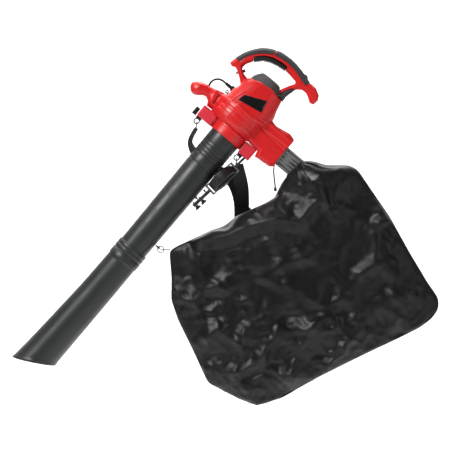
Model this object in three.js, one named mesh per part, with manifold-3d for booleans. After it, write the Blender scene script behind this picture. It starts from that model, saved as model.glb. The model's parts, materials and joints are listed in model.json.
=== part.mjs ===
// Electric leaf blower and vacuum with its collection bag, hanging from the hand by the arched handle.
// Millimetres, +Z up. The origin is the centre of the handle grip; -Y is the side with the name plate.
// The machine is drawn in a tool frame: x along the blow tube's axis towards the motor, with x = 0 at the
// collar's tube side, z towards the front horn, y across. The tool frame leans back by LEAN.
import * as THREE from "three";
import { mergeVertices } from "three/addons/utils/BufferGeometryUtils.js";
import Module from "manifold-3d";

const wasm = await Module();
wasm.setup();

// ---------- driving dimensions ----------
const LEAN = THREE.MathUtils.degToRad(50.1); // tube axis above the horizontal
const GRIP_CENTRE = { x: 271.6, z: 7.8 }; // in the tool frame
const GAP = 0.3; // left between pieces that touch
const WALL = 3; // moulded housing wall

const TUBE = { top: 20, joint: -440, rTop: 46, rJoint: 42.6, wall: 2.5 };
const SLEEVE = { start: -398, end: -450, r: 46.2 };
const NOZZLE = { x: -821.5, z: 10, halfHigh: 53.5, halfDeep: 57, slant: -0.53 };
const COLLAR = { length: 30, r: 52 };
const LUG = { deep: 48, upper: [0, 35, 52.5, 102], lower: [-7, 31.4, -90.5, -52.5] };
const FAN = { x0: 30.3, x1: 92, r: 76, z: 8 };
const PARTITION = { x0: 89, x1: 93 }; // wall between the fan and the motor
const DUCT = { z: -159, deep: 76, bevel: 9 };
const ADAPTER = { x: 64, halfWide: 29, halfDeep: 32, z0: -140, z1: -246, wall: 2.5 };
const HANDLE = { deep: 35, bevel: 7, skin: 2.75 };
const SHAFT_R = 4;
const WHEEL = { x: -102, r: 41, wide: 26, tilt: THREE.MathUtils.degToRad(-11) };
const ARM = { x: 10, z: -80, swing: THREE.MathUtils.degToRad(6.9), y: -12 };
const FORK = { x0: -146, x1: -58, in: WHEEL.wide / 2 + 1.2, out: WHEEL.wide / 2 + 3.6, half: 6 };
const BAG = { y: 10, halfDeep: 62, cloth: 1.5 };
const STRAP = { wide: 38, thick: 2 };
const CORD_R = 3;

// ---------- colours ----------
const finish = (color, roughness = 0.55, metalness = 0) =>
  new THREE.MeshStandardMaterial({ color, roughness, metalness });
const RED = finish(0xdc1414, 0.35);
const LUG_RED = finish(0xe8303c, 0.4);
const TUBE_GREY = finish(0x2b2d2d, 0.45);
const RUBBER = finish(0x3c3c3c, 0.8);
const BLACK = finish(0x161616, 0.5);
const VENT_GREY = finish(0x3a3a3a, 0.6);
const ADAPTER_GREY = finish(0x77797a, 0.5);
const STEEL = finish(0xa8a8a8, 0.35, 1);
const COPPER = finish(0xb8692e, 0.4, 1);
const NYLON = finish(0x121413, 0.85);

// ---------- shape helpers ----------
const at = (x, y, z) => new THREE.Vector3(x, y, z);

// Points and triangles of a closed surface as a solid, with its faces turned outwards.
function solidOf(points, index) {
  const vertProperties = new Float32Array(points.flatMap((point) => point.toArray()));
  const build = (triangles) =>
    new wasm.Manifold(
      new wasm.Mesh({ numProp: 3, vertProperties, triVerts: new Uint32Array(triangles) }),
    );
  const made = build(index);
  return made.volume() > 0 ? made : build(index.reverse());
}

// A closed geometry as a solid.
function solid(geometry) {
  const bare = geometry.clone();
  bare.deleteAttribute("normal");
  bare.deleteAttribute("uv");
  const merged = mergeVertices(bare, 1e-3);
  const { position } = merged.attributes;
  const points = [];
  for (let i = 0; i < position.count; i++) points.push(at(0, 0, 0).fromBufferAttribute(position, i));
  const corners = merged.index.array;
  const kept = [];
  for (let i = 0; i < corners.length; i += 3) {
    const [a, b, c] = corners.slice(i, i + 3);
    if (a !== b && b !== c && c !== a) kept.push(a, b, c);
  }
  return solidOf(points, kept);
}

function geometryOf(body) {
  const mesh = body.getMesh();
  const geometry = new THREE.BufferGeometry();
  geometry.setAttribute("position", new THREE.BufferAttribute(mesh.vertProperties, 3));
  geometry.setIndex(new THREE.BufferAttribute(mesh.triVerts, 1));
  geometry.computeVertexNormals();
  return geometry;
}

const join = (...bodies) => bodies.reduce((all, body) => all.add(body));
const cut = (body, ...tools) => tools.reduce((rest, tool) => rest.subtract(tool), body);

// A box given by its low and high corners.
function block(x0, x1, y0, y1, z0, z1) {
  const geometry = new THREE.BoxGeometry(x1 - x0, y1 - y0, z1 - z0);
  return solid(geometry.translate((x0 + x1) / 2, (y0 + y1) / 2, (z0 + z1) / 2));
}

// An anticlockwise outline moved inwards by a distance, each corner along its mitre.
function insetOutline(outline, distance) {
  return outline.map((corner, i) => {
    const before = corner.clone().sub(outline.at(i - 1)).normalize();
    const after = outline[(i + 1) % outline.length].clone().sub(corner).normalize();
    const mitre = new THREE.Vector2(-before.y - after.y, before.x + after.x);
    return corner.clone().addScaledVector(mitre, distance / Math.max(1 + before.dot(after), 0.6));
  });
}

// An outline of [x, z] corners, carried through a depth in y, with chamfered edges and an inset.
function slab(corners, deep, { bevel = 0, inset = 0, y = 0 } = {}) {
  const outline = corners.map(([x, z]) => new THREE.Vector2(x, z));
  if (THREE.ShapeUtils.isClockWise(outline)) outline.reverse();
  const half = deep / 2 - inset;
  const upper = bevel > 0 ? [[inset + bevel, half], [inset, half - bevel]] : [[inset, half]];
  const layers = [...upper, ...upper.map(([into, lift]) => [into, -lift]).reverse()];
  const count = outline.length;
  const points = layers.flatMap(([into, lift]) =>
    insetOutline(outline, into).map((corner) => at(corner.x, y + lift, corner.y)),
  );
  const index = [];
  for (let i = 0; i < layers.length - 1; i++) {
    for (let j = 0; j < count; j++) {
      const a = i * count + j;
      const b = i * count + ((j + 1) % count);
      index.push(a, b, b + count, a, b + count, a + count);
    }
  }
  const last = (layers.length - 1) * count;
  for (const [a, b, c] of THREE.ShapeUtils.triangulateShape(outline, [])) {
    index.push(a, c, b, last + a, last + b, last + c);
  }
  return solidOf(points, index);
}

// A profile of [x, radius] points turned about the x axis, or about a line parallel to it at height z.
function turned(profile, { sides = 28, z = 0, y = 0 } = {}) {
  const points = profile.map(([x, r]) => new THREE.Vector2(r, x));
  const geometry = new THREE.LatheGeometry(points, sides);
  return solid(geometry.rotateZ(-Math.PI / 2).translate(0, y, z));
}

const rod = (x0, x1, r, options) =>
  turned([[x0, 0], [x0, r], [x1, r], [x1, 0]], options);
const pipe = (x0, x1, inner, outer, options) =>
  turned([[x0, inner], [x0, outer], [x1, outer], [x1, inner], [x0, inner]], options);

// A skin through rings of equal point count, capped at both ends or closed into a loop.
function loft(rings, closed = false) {
  const count = rings[0].length;
  const points = rings.flat();
  const index = [];
  const bands = closed ? rings.length : rings.length - 1;
  for (let i = 0; i < bands; i++) {
    const next = (i + 1) % rings.length;
    for (let j = 0; j < count; j++) {
      const a = i * count + j;
      const b = i * count + ((j + 1) % count);
      const c = next * count + j;
      const d = next * count + ((j + 1) % count);
      index.push(a, b, d, a, d, c);
    }
  }
  if (!closed) {
    for (const [start, flip] of [[0, true], [(rings.length - 1) * count, false]]) {
      const centre = at(0, 0, 0);
      for (let j = 0; j < count; j++) centre.addScaledVector(points[start + j], 1 / count);
      points.push(centre);
      for (let j = 0; j < count; j++) {
        const a = start + j;
        const b = start + ((j + 1) % count);
        index.push(...(flip ? [points.length - 1, b, a] : [points.length - 1, a, b]));
      }
    }
  }
  return solidOf(points, index);
}

// A rounded-rectangle ring about the x axis; power 2 is an ellipse, higher is squarer.
function ovalRing(x, z, halfDeep, halfHigh, { count = 28, power = 2, slant = 0 } = {}) {
  const ring = [];
  for (let i = 0; i < count; i++) {
    const angle = (2 * Math.PI * i) / count;
    const c = Math.cos(angle);
    const s = Math.sin(angle);
    const y = halfDeep * Math.sign(c) * Math.abs(c) ** (2 / power);
    const up = halfHigh * Math.sign(s) * Math.abs(s) ** (2 / power);
    ring.push(at(x + slant * up, y, z + up));
  }
  return ring;
}

// The same kind of ring, lying level at height z between x0 and x1.
function levelRing(z, x0, x1, halfDeep, { count = 20, power = 2.3, y = 0 } = {}) {
  return ovalRing(z, 0, halfDeep, (x1 - x0) / 2, { count, power }).map((p) =>
    at((x0 + x1) / 2 + p.z, y + p.y, p.x),
  );
}

// A round wire through points, open or closed into a ring.
function wire(points, radius, { closed = false, sides = 6, steps = 16 } = {}) {
  const curve = new THREE.CatmullRomCurve3(points, closed);
  const frames = curve.computeFrenetFrames(steps, closed);
  const rings = [];
  for (let i = 0; i < (closed ? steps : steps + 1); i++) {
    const middle = curve.getPointAt(i / steps);
    const ring = [];
    for (let j = 0; j < sides; j++) {
      const angle = (2 * Math.PI * j) / sides;
      ring.push(
        middle
          .clone()
          .addScaledVector(frames.normals[i], radius * Math.cos(angle))
          .addScaledVector(frames.binormals[i], radius * Math.sin(angle)),
      );
    }
    rings.push(ring);
  }
  return loft(rings, closed);
}

// Webbing: a flat band through points, its width along widthway at each point.
function webbing(points, widthways, wide, thick, steps) {
  const path = new THREE.CatmullRomCurve3(points);
  const across = new THREE.CatmullRomCurve3(widthways);
  const rings = [];
  for (let i = 0; i <= steps; i++) {
    const u = path.getUtoTmapping(i / steps);
    const middle = path.getPoint(u);
    const along = path.getTangent(u);
    const side = across.getPoint(u);
    side.addScaledVector(along, -side.dot(along)).normalize();
    const face = along.clone().cross(side);
    const corner = (s, f) =>
      middle
        .clone()
        .addScaledVector(side, (s * wide) / 2)
        .addScaledVector(face, (f * thick) / 2);
    rings.push([corner(-1, -1), corner(1, -1), corner(1, 1), corner(-1, 1)]);
  }
  return loft(rings);
}

// ---------- the scene graph ----------
const blower = new THREE.Group();
const tool = new THREE.Group();
tool.rotation.y = -LEAN;
tool.position.copy(at(-GRIP_CENTRE.x, 0, -GRIP_CENTRE.z).applyAxisAngle(at(0, 1, 0), -LEAN));
blower.add(tool);
tool.updateMatrixWorld(true);
const inRow = (x, y, z) => at(x, y, z).applyMatrix4(tool.matrixWorld); // tool frame to row frame

function add(parent, name, body, material) {
  const mesh = new THREE.Mesh(geometryOf(body), material);
  mesh.name = name;
  parent.add(mesh);
  return mesh;
}

// ---------- outlines of the housing, in x and z ----------
const MOTOR_OUTLINE = [
  [88, 84], [99, 70], [120, 71], [131, 63], [171, 59], [177, 34], [184, 16], [187, 0],
  [185, -18], [181, -36], [178, -57], [152, -63], [126, -72], [88, -76],
];
const DUCT_OUTLINE = [
  [40, -30], [34, -62], [32, -92], [14, -97], [16, -114], [19, -146], [27, -156], [27, DUCT.z],
  [114, DUCT.z], [121, -148], [125, -133], [121, -111], [117, -90], [124, -60], [100, -30],
];
const HANDLE_OUTER = [
  [139, 58], [152, 72], [166, 91], [172, 104], [167, 114], [171, 124], [184, 122], [198, 118],
  [216, 112], [232, 103], [247, 93], [260, 81], [271, 66], [279, 50], [285, 33], [287.5, 14],
  [288, -4], [286, -24], [282, -46], [275, -68], [271, -84], [271, -105], [260, -126], [247, -133],
  [231, -130], [228, -119], [238, -104], [243, -93], [242, -79], [234, -68], [216, -58], [199, -54],
  [180, -56],
];
const HANDLE_INNER = [
  [176, -36], [190, -35], [203, -32], [214, -37], [230, -46], [243, -54], [249, -49], [252, -28],
  [254, -7], [251, 16], [245, 38], [234, 59], [216, 76], [198, 87], [186, 89], [178, 85],
  [172, 74], [168, 56], [150, 44],
];
const HANDLE_OUTLINE = [...HANDLE_OUTER, ...HANDLE_INNER];
const GRIP_FRONT_REGION = [
  [190, 105], [206, 101], [224, 92], [241, 78], [255, 62], [264, 44],
  [300, 52], [280, 96], [240, 124], [192, 132],
];
const GRIP_REAR_REGION = [
  [265, 40], [271, 22], [273, -2], [271, -24], [266, -46], [258, -70], [256, -80],
  [285, -86], [296, -46], [304, 0], [300, 48],
];

// ---------- motor housing sections: x, centre z, half depth, half height ----------
const MOTOR_SECTIONS = [
  [86, 2, 70, 80], [106, -1, 68, 76], [128, -2, 65.5, 73], [160, -2, 59, 66], [178, -5, 54, 59],
  [192, -10, 44, 48],
];
const motorSkin = (grow) =>
  loft(
    MOTOR_SECTIONS.map(([x, z, deep, high]) =>
      ovalRing(x, z, deep + grow, high + grow, { power: 2.7 }),
    ),
  );

const HORN_SECTIONS = [
  [62, 39, 100, 27], [97, 37, 93, 23], [105, 50, 90, 19], [115, 55, 87, 17], [124, 52, 85, 18],
  [134, 43, 85, 21], [147, 37, 81, 23.5], [159, 40, 75, 19], [167, 48, 67, 11], [170, 54, 63, 5],
];
const horn = (inset, low, high, count = 20) =>
  loft(
    HORN_SECTIONS.filter(([z]) => z >= low && z <= high).map(([z, x0, x1, deep]) =>
      levelRing(z, x0 + inset, x1 - inset, deep - inset, { count }),
    ),
  );

function fanSkin(inset) {
  const r = FAN.r - inset;
  const x0 = FAN.x0 + inset;
  const x1 = FAN.x1 - inset;
  const profile = [
    [x0, 0], [x0, r - 20], [x0 + 5, r - 10], [x0 + 14, r - 2], [x0 + 26, r], [x1 - 6, r],
    [x1, r - 5], [x1, 0],
  ];
  return turned(profile, { z: FAN.z, sides: 30 });
}

// ---------- housing shells ----------
function housingShells() {
  const motor = motorSkin(0).intersect(slab(MOTOR_OUTLINE, 180));
  const ridge = turned(
    [[78, 60], [78, FAN.r + 2], [88, FAN.r + 2], [91, FAN.r - 2], [91, 60], [78, 60]],
    { z: FAN.z, sides: 30 },
  );
  const duct = slab(DUCT_OUTLINE, DUCT.deep, { bevel: DUCT.bevel });
  const ductStep = slab([[84, -40], [90, -154], [112, -154], [118, -60], [112, -40]], DUCT.deep + 5,
    { bevel: 3 });
  const handle = slab(HANDLE_OUTLINE, HANDLE.deep, { bevel: HANDLE.bevel });
  const handleCore = slab(HANDLE_OUTLINE, HANDLE.deep, { bevel: 6, inset: HANDLE.skin });
  const gripRoom = join(slab(GRIP_FRONT_REGION, 60), slab(GRIP_REAR_REGION, 60));
  const bar = join(cut(handle, gripRoom), handleCore);
  const outer = join(fanSkin(0), ridge, motor, duct, ductStep, horn(0, 0, 200), bar);

  const motorOutlineInside = MOTOR_OUTLINE.map(([x, z]) => [x < 95 ? PARTITION.x1 : x, z]);
  const motorRoom = cut(
    motorSkin(-WALL).intersect(slab(motorOutlineInside, 180, { inset: WALL * 0.9 })),
    rod(80, 104, 16),
  );
  const ductRoom = slab(
    DUCT_OUTLINE.map(([x, z]) => [x, z === DUCT.z ? z - 20 : z]),
    DUCT.deep,
    { bevel: DUCT.bevel - WALL, inset: WALL },
  );
  const ductPassage = ductRoom.intersect(block(0, PARTITION.x0 - 0.5, -60, 60, -220, 0));
  const ductMouth = ductRoom.intersect(block(0, 200, -60, 60, -220, -80));
  const mouth = loft([-170, -139.7].map((z) => adapterRing(z, GAP)));
  const hollowHandle = slab(HANDLE_OUTLINE, HANDLE.deep, { inset: HANDLE.skin * 2 + 0.4 });
  const handleRoom = hollowHandle.intersect(block(150, 300, -60, 60, -124, 130));
  const room = join(
    fanSkin(WALL), motorRoom, ductPassage, ductMouth, mouth, handleRoom,
    horn(WALL, 90, 166, 12),
    rod(20, 40, 42),
    rod(80, 110, SHAFT_R + 2),
    rod(94, 106, 11 + GAP, { sides: 28 }),
    cut(rod(160, 215, 49.6, { z: CAP.z }), barEnd(0)),
    triggerRoom(), dialRoom(), lockRoom(), leverRoom(),
  );
  const bosses = join(...SCREWS.map(([x, z]) =>
    cylinderY(x, z, -30, 16, 6).intersect(outer)));
  const bores = join(...SCREWS.map(([x, z, far]) => screwRoom(x, z, far)));
  const shell = cut(join(cut(outer, room), bosses), bores, strainRoom(), bootRoom());
  const half = GAP / 2;
  return {
    near: largest(shell.intersect(block(-100, 400, -200, -half, -300, 300))),
    far: largest(shell.intersect(block(-100, 400, half, 200, -300, 300))),
  };
}

// The biggest of a solid's separate bodies.
function largest(body) {
  return body.decompose().reduce((a, b) => (a.volume() > b.volume() ? a : b));
}

// A round bar across the machine, from y0 to y1.
function cylinderY(x, z, y0, y1, r, sides = 12) {
  const geometry = new THREE.CylinderGeometry(r, r, y1 - y0, sides);
  return solid(geometry.translate(x, (y0 + y1) / 2, z));
}

// A round bar up the tool frame's z, from z0 to z1.
function cylinderZ(x, y, z0, z1, r, sides = 12) {
  const geometry = new THREE.CylinderGeometry(r, r, z1 - z0, sides).rotateX(Math.PI / 2);
  return solid(geometry.translate(x, y, (z0 + z1) / 2));
}

// ---------- housing screws: x, z and the y of the head's seat on the far half ----------
const SCREWS = [[163, 92, 10], [262, -104, 10], [66, 128, 12], [104, -134, 30]];
const SCREW_R = 2;
const screwRoom = (x, z, far) =>
  join(cylinderY(x, z, -8, far + 1, SCREW_R + GAP, 12), cylinderY(x, z, far, 60, 4.5, 16));
const screwBody = (x, z, far) =>
  join(
    cylinderY(x, z, -7.5, far + 1, SCREW_R, 12),
    cut(
      cylinderY(x, z, far + GAP, far + 3.3, 4, 16),
      block(x - 3, x + 3, far + 2, far + 5, z - 0.6, z + 0.6),
    ),
  );

// ---------- moving controls ----------
const TRIGGER_PIVOT = [224, 83];
const TRIGGER_WIDE = 34;
const TRIGGER_OUTLINE = [
  [215, 74], [234, 57.5], [244, 37], [249.5, 16], [252, -8], [264, -8], [264, 14], [258, 42],
  [246, 64], [226, 83],
];
const TRIGGER_PLAY = THREE.MathUtils.degToRad(4);
// The full-width face of the blade is what stays inside its opening through the whole squeeze.
function trigger() {
  const pivot = new THREE.Vector2(...TRIGGER_PIVOT);
  const released = TRIGGER_OUTLINE.map(([x, z]) =>
    new THREE.Vector2(x, z).rotateAround(pivot, -TRIGGER_PLAY).toArray());
  const face = slab(released, TRIGGER_WIDE).intersect(slab(TRIGGER_OUTLINE, TRIGGER_WIDE));
  const core = slab(TRIGGER_OUTLINE, 20, { bevel: 3 });
  return join(face, core, cylinderY(TRIGGER_PIVOT[0], TRIGGER_PIVOT[1], -10, 10, 4));
}
// The pocket is the trigger's own sweep as it is squeezed, with play all round.
function triggerRoom() {
  const swept = [
    [212.5, 74.5], [232, 56], [242, 36], [247.5, 15], [249, -10], [268, -11.5], [276, -10], [275, 16],
    [267, 46], [252, 72], [226, 88], [218, 84],
  ];
  return join(
    slab(swept, 21.4),
    slab(TRIGGER_OUTLINE, 60, { inset: -0.5 }),
    cylinderY(TRIGGER_PIVOT[0], TRIGGER_PIVOT[1], -10.7, 10.7, 5.2),
  );
}

const DIAL = { x: 269.5, z: -62, r: 12.5, half: 4.5 };
function speedDial() {
  const notches = [];
  for (let i = 0; i < 14; i++) {
    const angle = (2 * Math.PI * i) / 14;
    const x = DIAL.x + DIAL.r * Math.cos(angle);
    const z = DIAL.z + DIAL.r * Math.sin(angle);
    notches.push(cylinderY(x, z, -6, 6, 1, 4));
  }
  return cut(cylinderY(DIAL.x, DIAL.z, -DIAL.half, DIAL.half, DIAL.r, 28), ...notches);
}
const dialRoom = () => cylinderY(DIAL.x, DIAL.z, -DIAL.half - 0.6, DIAL.half + 0.6, DIAL.r + 0.8, 24);

// The lock button pushes into the front root of the handle, along its own axis in the tool frame.
const LOCK = { x: 177, z: 80, angle: THREE.MathUtils.degToRad(28) };
const lockPlaced = (geometry) =>
  solid(geometry.rotateY(LOCK.angle).translate(LOCK.x, 0, LOCK.z));
const lockButton = () =>
  join(
    lockPlaced(new THREE.BoxGeometry(13, 9, 8).translate(-0.5, 0, 0)),
    lockPlaced(new THREE.BoxGeometry(2, 12, 10).translate(-7, 0, 0)),
  );
const lockRoom = () =>
  join(
    lockPlaced(new THREE.BoxGeometry(26, 10, 9).translate(-4, 0, 0)),
    lockPlaced(new THREE.BoxGeometry(9, 13.4, 11.4).translate(-10, 0, 0)),
  );

// The mode lever lies in a recess of the horn's root on the near side.
const LEVER = { x: 84, z: 99, y: -20 };
const LEVER_OUTLINE = [[88, 103], [89, 96], [84, 92], [62, 88], [52, 89], [52, 96], [62, 98], [80, 104]];
const LEVER_ROOM = [[92, 107], [93, 92], [85, 87], [62, 82], [46, 80], [44, 98], [56, 102], [78, 109]];
const modeLever = () =>
  join(slab(LEVER_OUTLINE, 5, { bevel: 1, y: LEVER.y - 6 }), cylinderY(LEVER.x, LEVER.z, -27, -14, 3));
const leverRoom = () =>
  join(
    slab(LEVER_ROOM, 20, { y: LEVER.y - 12.5 }),
    cylinderY(LEVER.x, LEVER.z, -24, -13, 3 + GAP),
  );

// ---------- fixed fittings on the housing ----------
const STRAIN = { x: 120, z1: 96 };
function strainRelief() {
  const outer = [[58, 7.5], [72.4, 7.5], [72.5, 9], [75.5, 9], [75.6, 6], [STRAIN.z1, 4.6]];
  const rings = outer.map(([z, r]) => levelRing(z, STRAIN.x - r, STRAIN.x + r, r, { power: 2, count: 12 }));
  const bore = cylinderZ(STRAIN.x, 0, 50, 110, CORD_R - 1);
  const grooves = [79, 84, 89].map((z) =>
    cut(cylinderZ(STRAIN.x, 0, z, z + 1.8, 9, 12), cylinderZ(STRAIN.x, 0, z - 1, z + 3, 4.2, 12)));
  return cut(loft(rings), bore, ...grooves);
}
const strainRoom = () => cylinderZ(STRAIN.x, 0, 55, 73, 7.5 + GAP, 16);

const BOOT_OUTLINE = [[179, -33], [190, -38], [200, -41], [214, -47], [230, -57], [226, -64], [212, -60],
  [198, -57], [179, -59]];
const BOOT_X0 = 182;
const bootCore = (deep) => slab(BOOT_OUTLINE.map(([x, z]) => [x + 2, z + 6]), deep);
const rearBoot = () =>
  cut(
    slab(BOOT_OUTLINE, HANDLE.deep + 3, { bevel: 5 }),
    bootCore(21),
    block(150, BOOT_X0, -60, 60, -80, 0),
    capSkin(2 * GAP),
  );
const bootRoom = () =>
  cut(slab(BOOT_OUTLINE, 60), bootCore(21 - 2 * GAP)).intersect(
    block(BOOT_X0 - GAP, 260, -60, 60, -80, 0),
  );

const BADGE_OUTLINE = [[103, 38], [125, 33], [151, -26], [116, -34]];
const badgePlate = () => cut(motorSkin(1.8), motorSkin(GAP)).intersect(slab(BADGE_OUTLINE, 90, { y: -75 }));

// The louvred cap over the motor: a cone with a flat end, its axis at height z.
const CAP = {
  z: 4,
  sections: [[161, 49], [180, 49], [188, 47], [196, 42.5], [204, 36.5], [208.5, 32], [209.5, 20]],
};
const capSkin = (grow, shift = 0) =>
  loft(CAP.sections.map(([x, r]) => ovalRing(x + shift, CAP.z, r + grow, r + grow, { count: 24 })));
// The end of the handle's lower bar, which runs on over the cap.
const barEnd = (grow) =>
  slab(HANDLE_OUTLINE, HANDLE.deep + 2 * grow, { inset: -grow }).intersect(
    block(189 - grow, 215, -30, 30, -60, -20),
  );

function ventCap() {
  const slots = [];
  for (const x of [187, 193.5, 200]) {
    slots.push(pipe(x, x + 3, 24, 60, { z: CAP.z, sides: 12 }));
  }
  const ribs = [0, 1, 2].map((i) => {
    const bar = new THREE.BoxGeometry(80, 5, 120).rotateX((i * Math.PI) / 3 + 0.2);
    return solid(bar.translate(190, 0, CAP.z));
  });
  const openings = cut(join(...slots), join(...ribs));
  const seat = pipe(176, 200, 11 + GAP, 15, { sides: 20 });
  const spider = join(seat, rod(190, 200, 15, { sides: 20 })).add(
    join(...[0, 1].map((i) =>
      solid(new THREE.BoxGeometry(16, 5, 100).rotateX((i * Math.PI) / 2 + 0.2).translate(192, 0, CAP.z)))),
  );
  const inside = capSkin(-2.6, -2.6);
  const centred = cut(spider.intersect(capSkin(-1)), rod(170, 186, 11 + GAP, { sides: 20 }));
  return largest(cut(join(cut(capSkin(0), inside), centred), openings, barEnd(GAP)));
}

function cordRetainer() {
  const body = slab([[99, 72.5], [99, 83], [109, 83], [109, 77], [104, 72.5]], 14, { bevel: 1.5 });
  return cut(body, cylinderY(104, 78.5, -20, 20, 2.4));
}

// ---------- handle grips ----------
function gripOver(region) {
  const shape = slab(HANDLE_OUTLINE, HANDLE.deep + 1.4, { bevel: HANDLE.bevel, inset: -0.7 });
  const core = slab(HANDLE_OUTLINE, HANDLE.deep + 2 * GAP, { bevel: 6, inset: HANDLE.skin });
  const trimmed = slab(region, 60, { inset: GAP });
  return largest(cut(shape.intersect(trimmed), core, dialRoom()));
}

// ---------- tubes ----------
function tubeRadius(x) {
  return TUBE.rTop + ((TUBE.rTop - TUBE.rJoint) * x) / 400;
}
function upperTube() {
  const outer = [[TUBE.top, 45.6]];
  for (const x of [0, -26]) outer.push([x, tubeRadius(x)]);
  for (let i = 0; i < 4; i++) {
    const x = -31 - 11 * i;
    outer.push([x, tubeRadius(x)], [x - 1.5, tubeRadius(x) - 1], [x - 3, tubeRadius(x)]);
  }
  outer.push([-101, tubeRadius(-101)], [-102, tubeRadius(-102) - 1], [-103, tubeRadius(-103)]);
  outer.push([SLEEVE.start + 1, TUBE.rJoint], [TUBE.joint, TUBE.rJoint]);
  const inner = [[TUBE.joint, TUBE.rJoint - TUBE.wall], [TUBE.top, 45.6 - TUBE.wall], [TUBE.top, 45.6]];
  return turned([...outer, ...inner], { sides: 28 });
}

function lowerTube() {
  const { r } = SLEEVE;
  const stations = [
    [SLEEVE.start, 0, r - 1, r - 1], [-408, 0, r, r], [-410, 0, r - 1, r - 1],
    [-412, 0, r, r], [-422, 0, r, r], [-424, 0, r - 1, r - 1],
    [-446, 0, r, r], [SLEEVE.end, 0, r - 2, r - 2],
    [-560, 1, 45, 45.5], [-690, 5, 50, 49], [-770, 8, 54, 51.5],
  ];
  const rings = stations.map(([x, z, deep, high]) => {
    const share = THREE.MathUtils.clamp((SLEEVE.end - x) / (SLEEVE.end + 821), 0, 1);
    return ovalRing(x, z, deep, high, { count: 28, slant: NOZZLE.slant * share });
  });
  const end = (grow, x) =>
    ovalRing(NOZZLE.x + x, NOZZLE.z, NOZZLE.halfDeep + grow, NOZZLE.halfHigh + grow, {
      count: 28,
      slant: NOZZLE.slant,
    });
  const outer = loft([...rings, end(0, 10), end(1.2, 7), end(1.2, 0)]);
  const borePoints = [
    [SLEEVE.start + 5, 0, TUBE.rJoint + GAP, TUBE.rJoint + GAP],
    [TUBE.joint - 1, 0, TUBE.rJoint + GAP, TUBE.rJoint + GAP],
    [TUBE.joint - 3, 0, TUBE.rJoint - 1, TUBE.rJoint - 1],
    [-560, 1, 42.5, 43], [-690, 5, 47.5, 46.5], [-770, 8, 51.5, 49],
  ];
  const bore = borePoints.map(([x, z, deep, high]) => {
    const share = THREE.MathUtils.clamp((SLEEVE.end - x) / (SLEEVE.end + 821), 0, 1);
    return ovalRing(x, z, deep, high, { count: 28, slant: NOZZLE.slant * share });
  });
  return cut(outer, loft([...bore, end(-2.2, 12), end(-2.2, -6)]));
}

// ---------- collar with the tube socket, and its two lugs ----------
function tubeSocket() {
  const { length, r } = COLLAR;
  const profile = [
    [0, 46.4], [0, r - 1.5], [1.5, r], [length - 6, r], [length, r + 2], [length, 42],
    [TUBE.top + GAP, 42], [TUBE.top + GAP, 46.4], [0, 46.4],
  ];
  return turned(profile, { sides: 36 });
}
function lugBlock([x0, x1, z0, z1]) {
  const shape = slab([[x0, z0], [x1, z0], [x1, z1], [x0, z1]], LUG.deep, { bevel: 2.5 });
  const seat = pipe(-30, COLLAR.length + 8, 0.01, COLLAR.r + 2 + GAP);
  return largest(cut(shape, seat, fanSkin(-GAP), horn(-GAP, 0, 200)));
}

// The slot of the lower lug in which the wheel arm swings, and the hole of its pivot bolt.
const armRoom = () => {
  const y0 = ARM.y - FORK.half - 0.7;
  const y1 = ARM.y + FORK.half + 0.7;
  return join(
    cylinderY(ARM.x, ARM.z, y0, y1, 9.6, 24),
    block(-40, ARM.x + 5, y0, y1, -110, ARM.z + 7),
    cylinderY(ARM.x, ARM.z, -22, 40, 3 + GAP),
  );
};

// ---------- inside the housing ----------
function impeller() {
  const disc = turned([[78, SHAFT_R + 0.05], [60, SHAFT_R + 0.05], [60, 12], [74, 14], [76, 58],
    [79, 58], [79, SHAFT_R + 0.05], [78, SHAFT_R + 0.05]]);
  const blades = [];
  for (let i = 0; i < 12; i++) {
    const blade = new THREE.BoxGeometry(28, 2, 42).rotateX(0.45).translate(64, 0, 36);
    blades.push(solid(blade.rotateX((2 * Math.PI * i) / 12)));
  }
  const trim = pipe(45, 79, 12, 58);
  return join(disc, join(...blades).intersect(trim));
}
const rotorShaft = () =>
  turned([[50, 0], [50, SHAFT_R - 0.05], [183, SHAFT_R - 0.05], [183, 0]], { sides: 20 });
const impellerNut = () =>
  cut(rod(52, 59.6, 7, { sides: 6 }), rod(40, 70, SHAFT_R + 0.05, { sides: 20 }));
function armature() {
  const core = pipe(114, 150, SHAFT_R + 0.05, 24, { sides: 24 });
  const slots = [];
  for (let i = 0; i < 12; i++) {
    const slot = new THREE.BoxGeometry(60, 2.4, 12).translate(132, 0, 22);
    slots.push(solid(slot.rotateX((2 * Math.PI * i) / 12)));
  }
  return cut(core, ...slots);
}
const commutator = () => pipe(154, 166, SHAFT_R + 0.05, 13, { sides: 24 });
function coolingFan() {
  const disc = pipe(106, 108, SHAFT_R + 0.05, 30, { sides: 32 });
  const hub = pipe(106, 112.5, SHAFT_R + 0.05, 9, { sides: 24 });
  const blades = [];
  for (let i = 0; i < 8; i++) {
    const blade = new THREE.BoxGeometry(5, 1.6, 21).translate(109.5, 0, 19);
    blades.push(solid(blade.rotateX((2 * Math.PI * i) / 8)));
  }
  return join(disc, hub, ...blades);
}
function motorStator() {
  const ring = pipe(116, 148, 25.2, 40, { sides: 32 });
  const coils = [1, -1].map((side) =>
    block(113, 151, -14, 14, Math.min(side * 27, side * 37), Math.max(side * 27, side * 37)));
  return join(ring, ...coils);
}
const bearing = (x0, x1) =>
  cut(pipe(x0, x1, SHAFT_R + 0.05, 11, { sides: 20 }), pipe(x1 - 1, x1 + 1, 6, 9, { sides: 20 }));
const brushHolder = (side) =>
  side > 0 ? block(156, 164, 13.4, 34, -5, 5) : block(156, 164, -34, -13.4, -5, 5);
const switchModule = () =>
  join(block(259.5, 273, -8, 8, -46, -22), block(261, 270, -5, 5, -22, -18));

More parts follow.
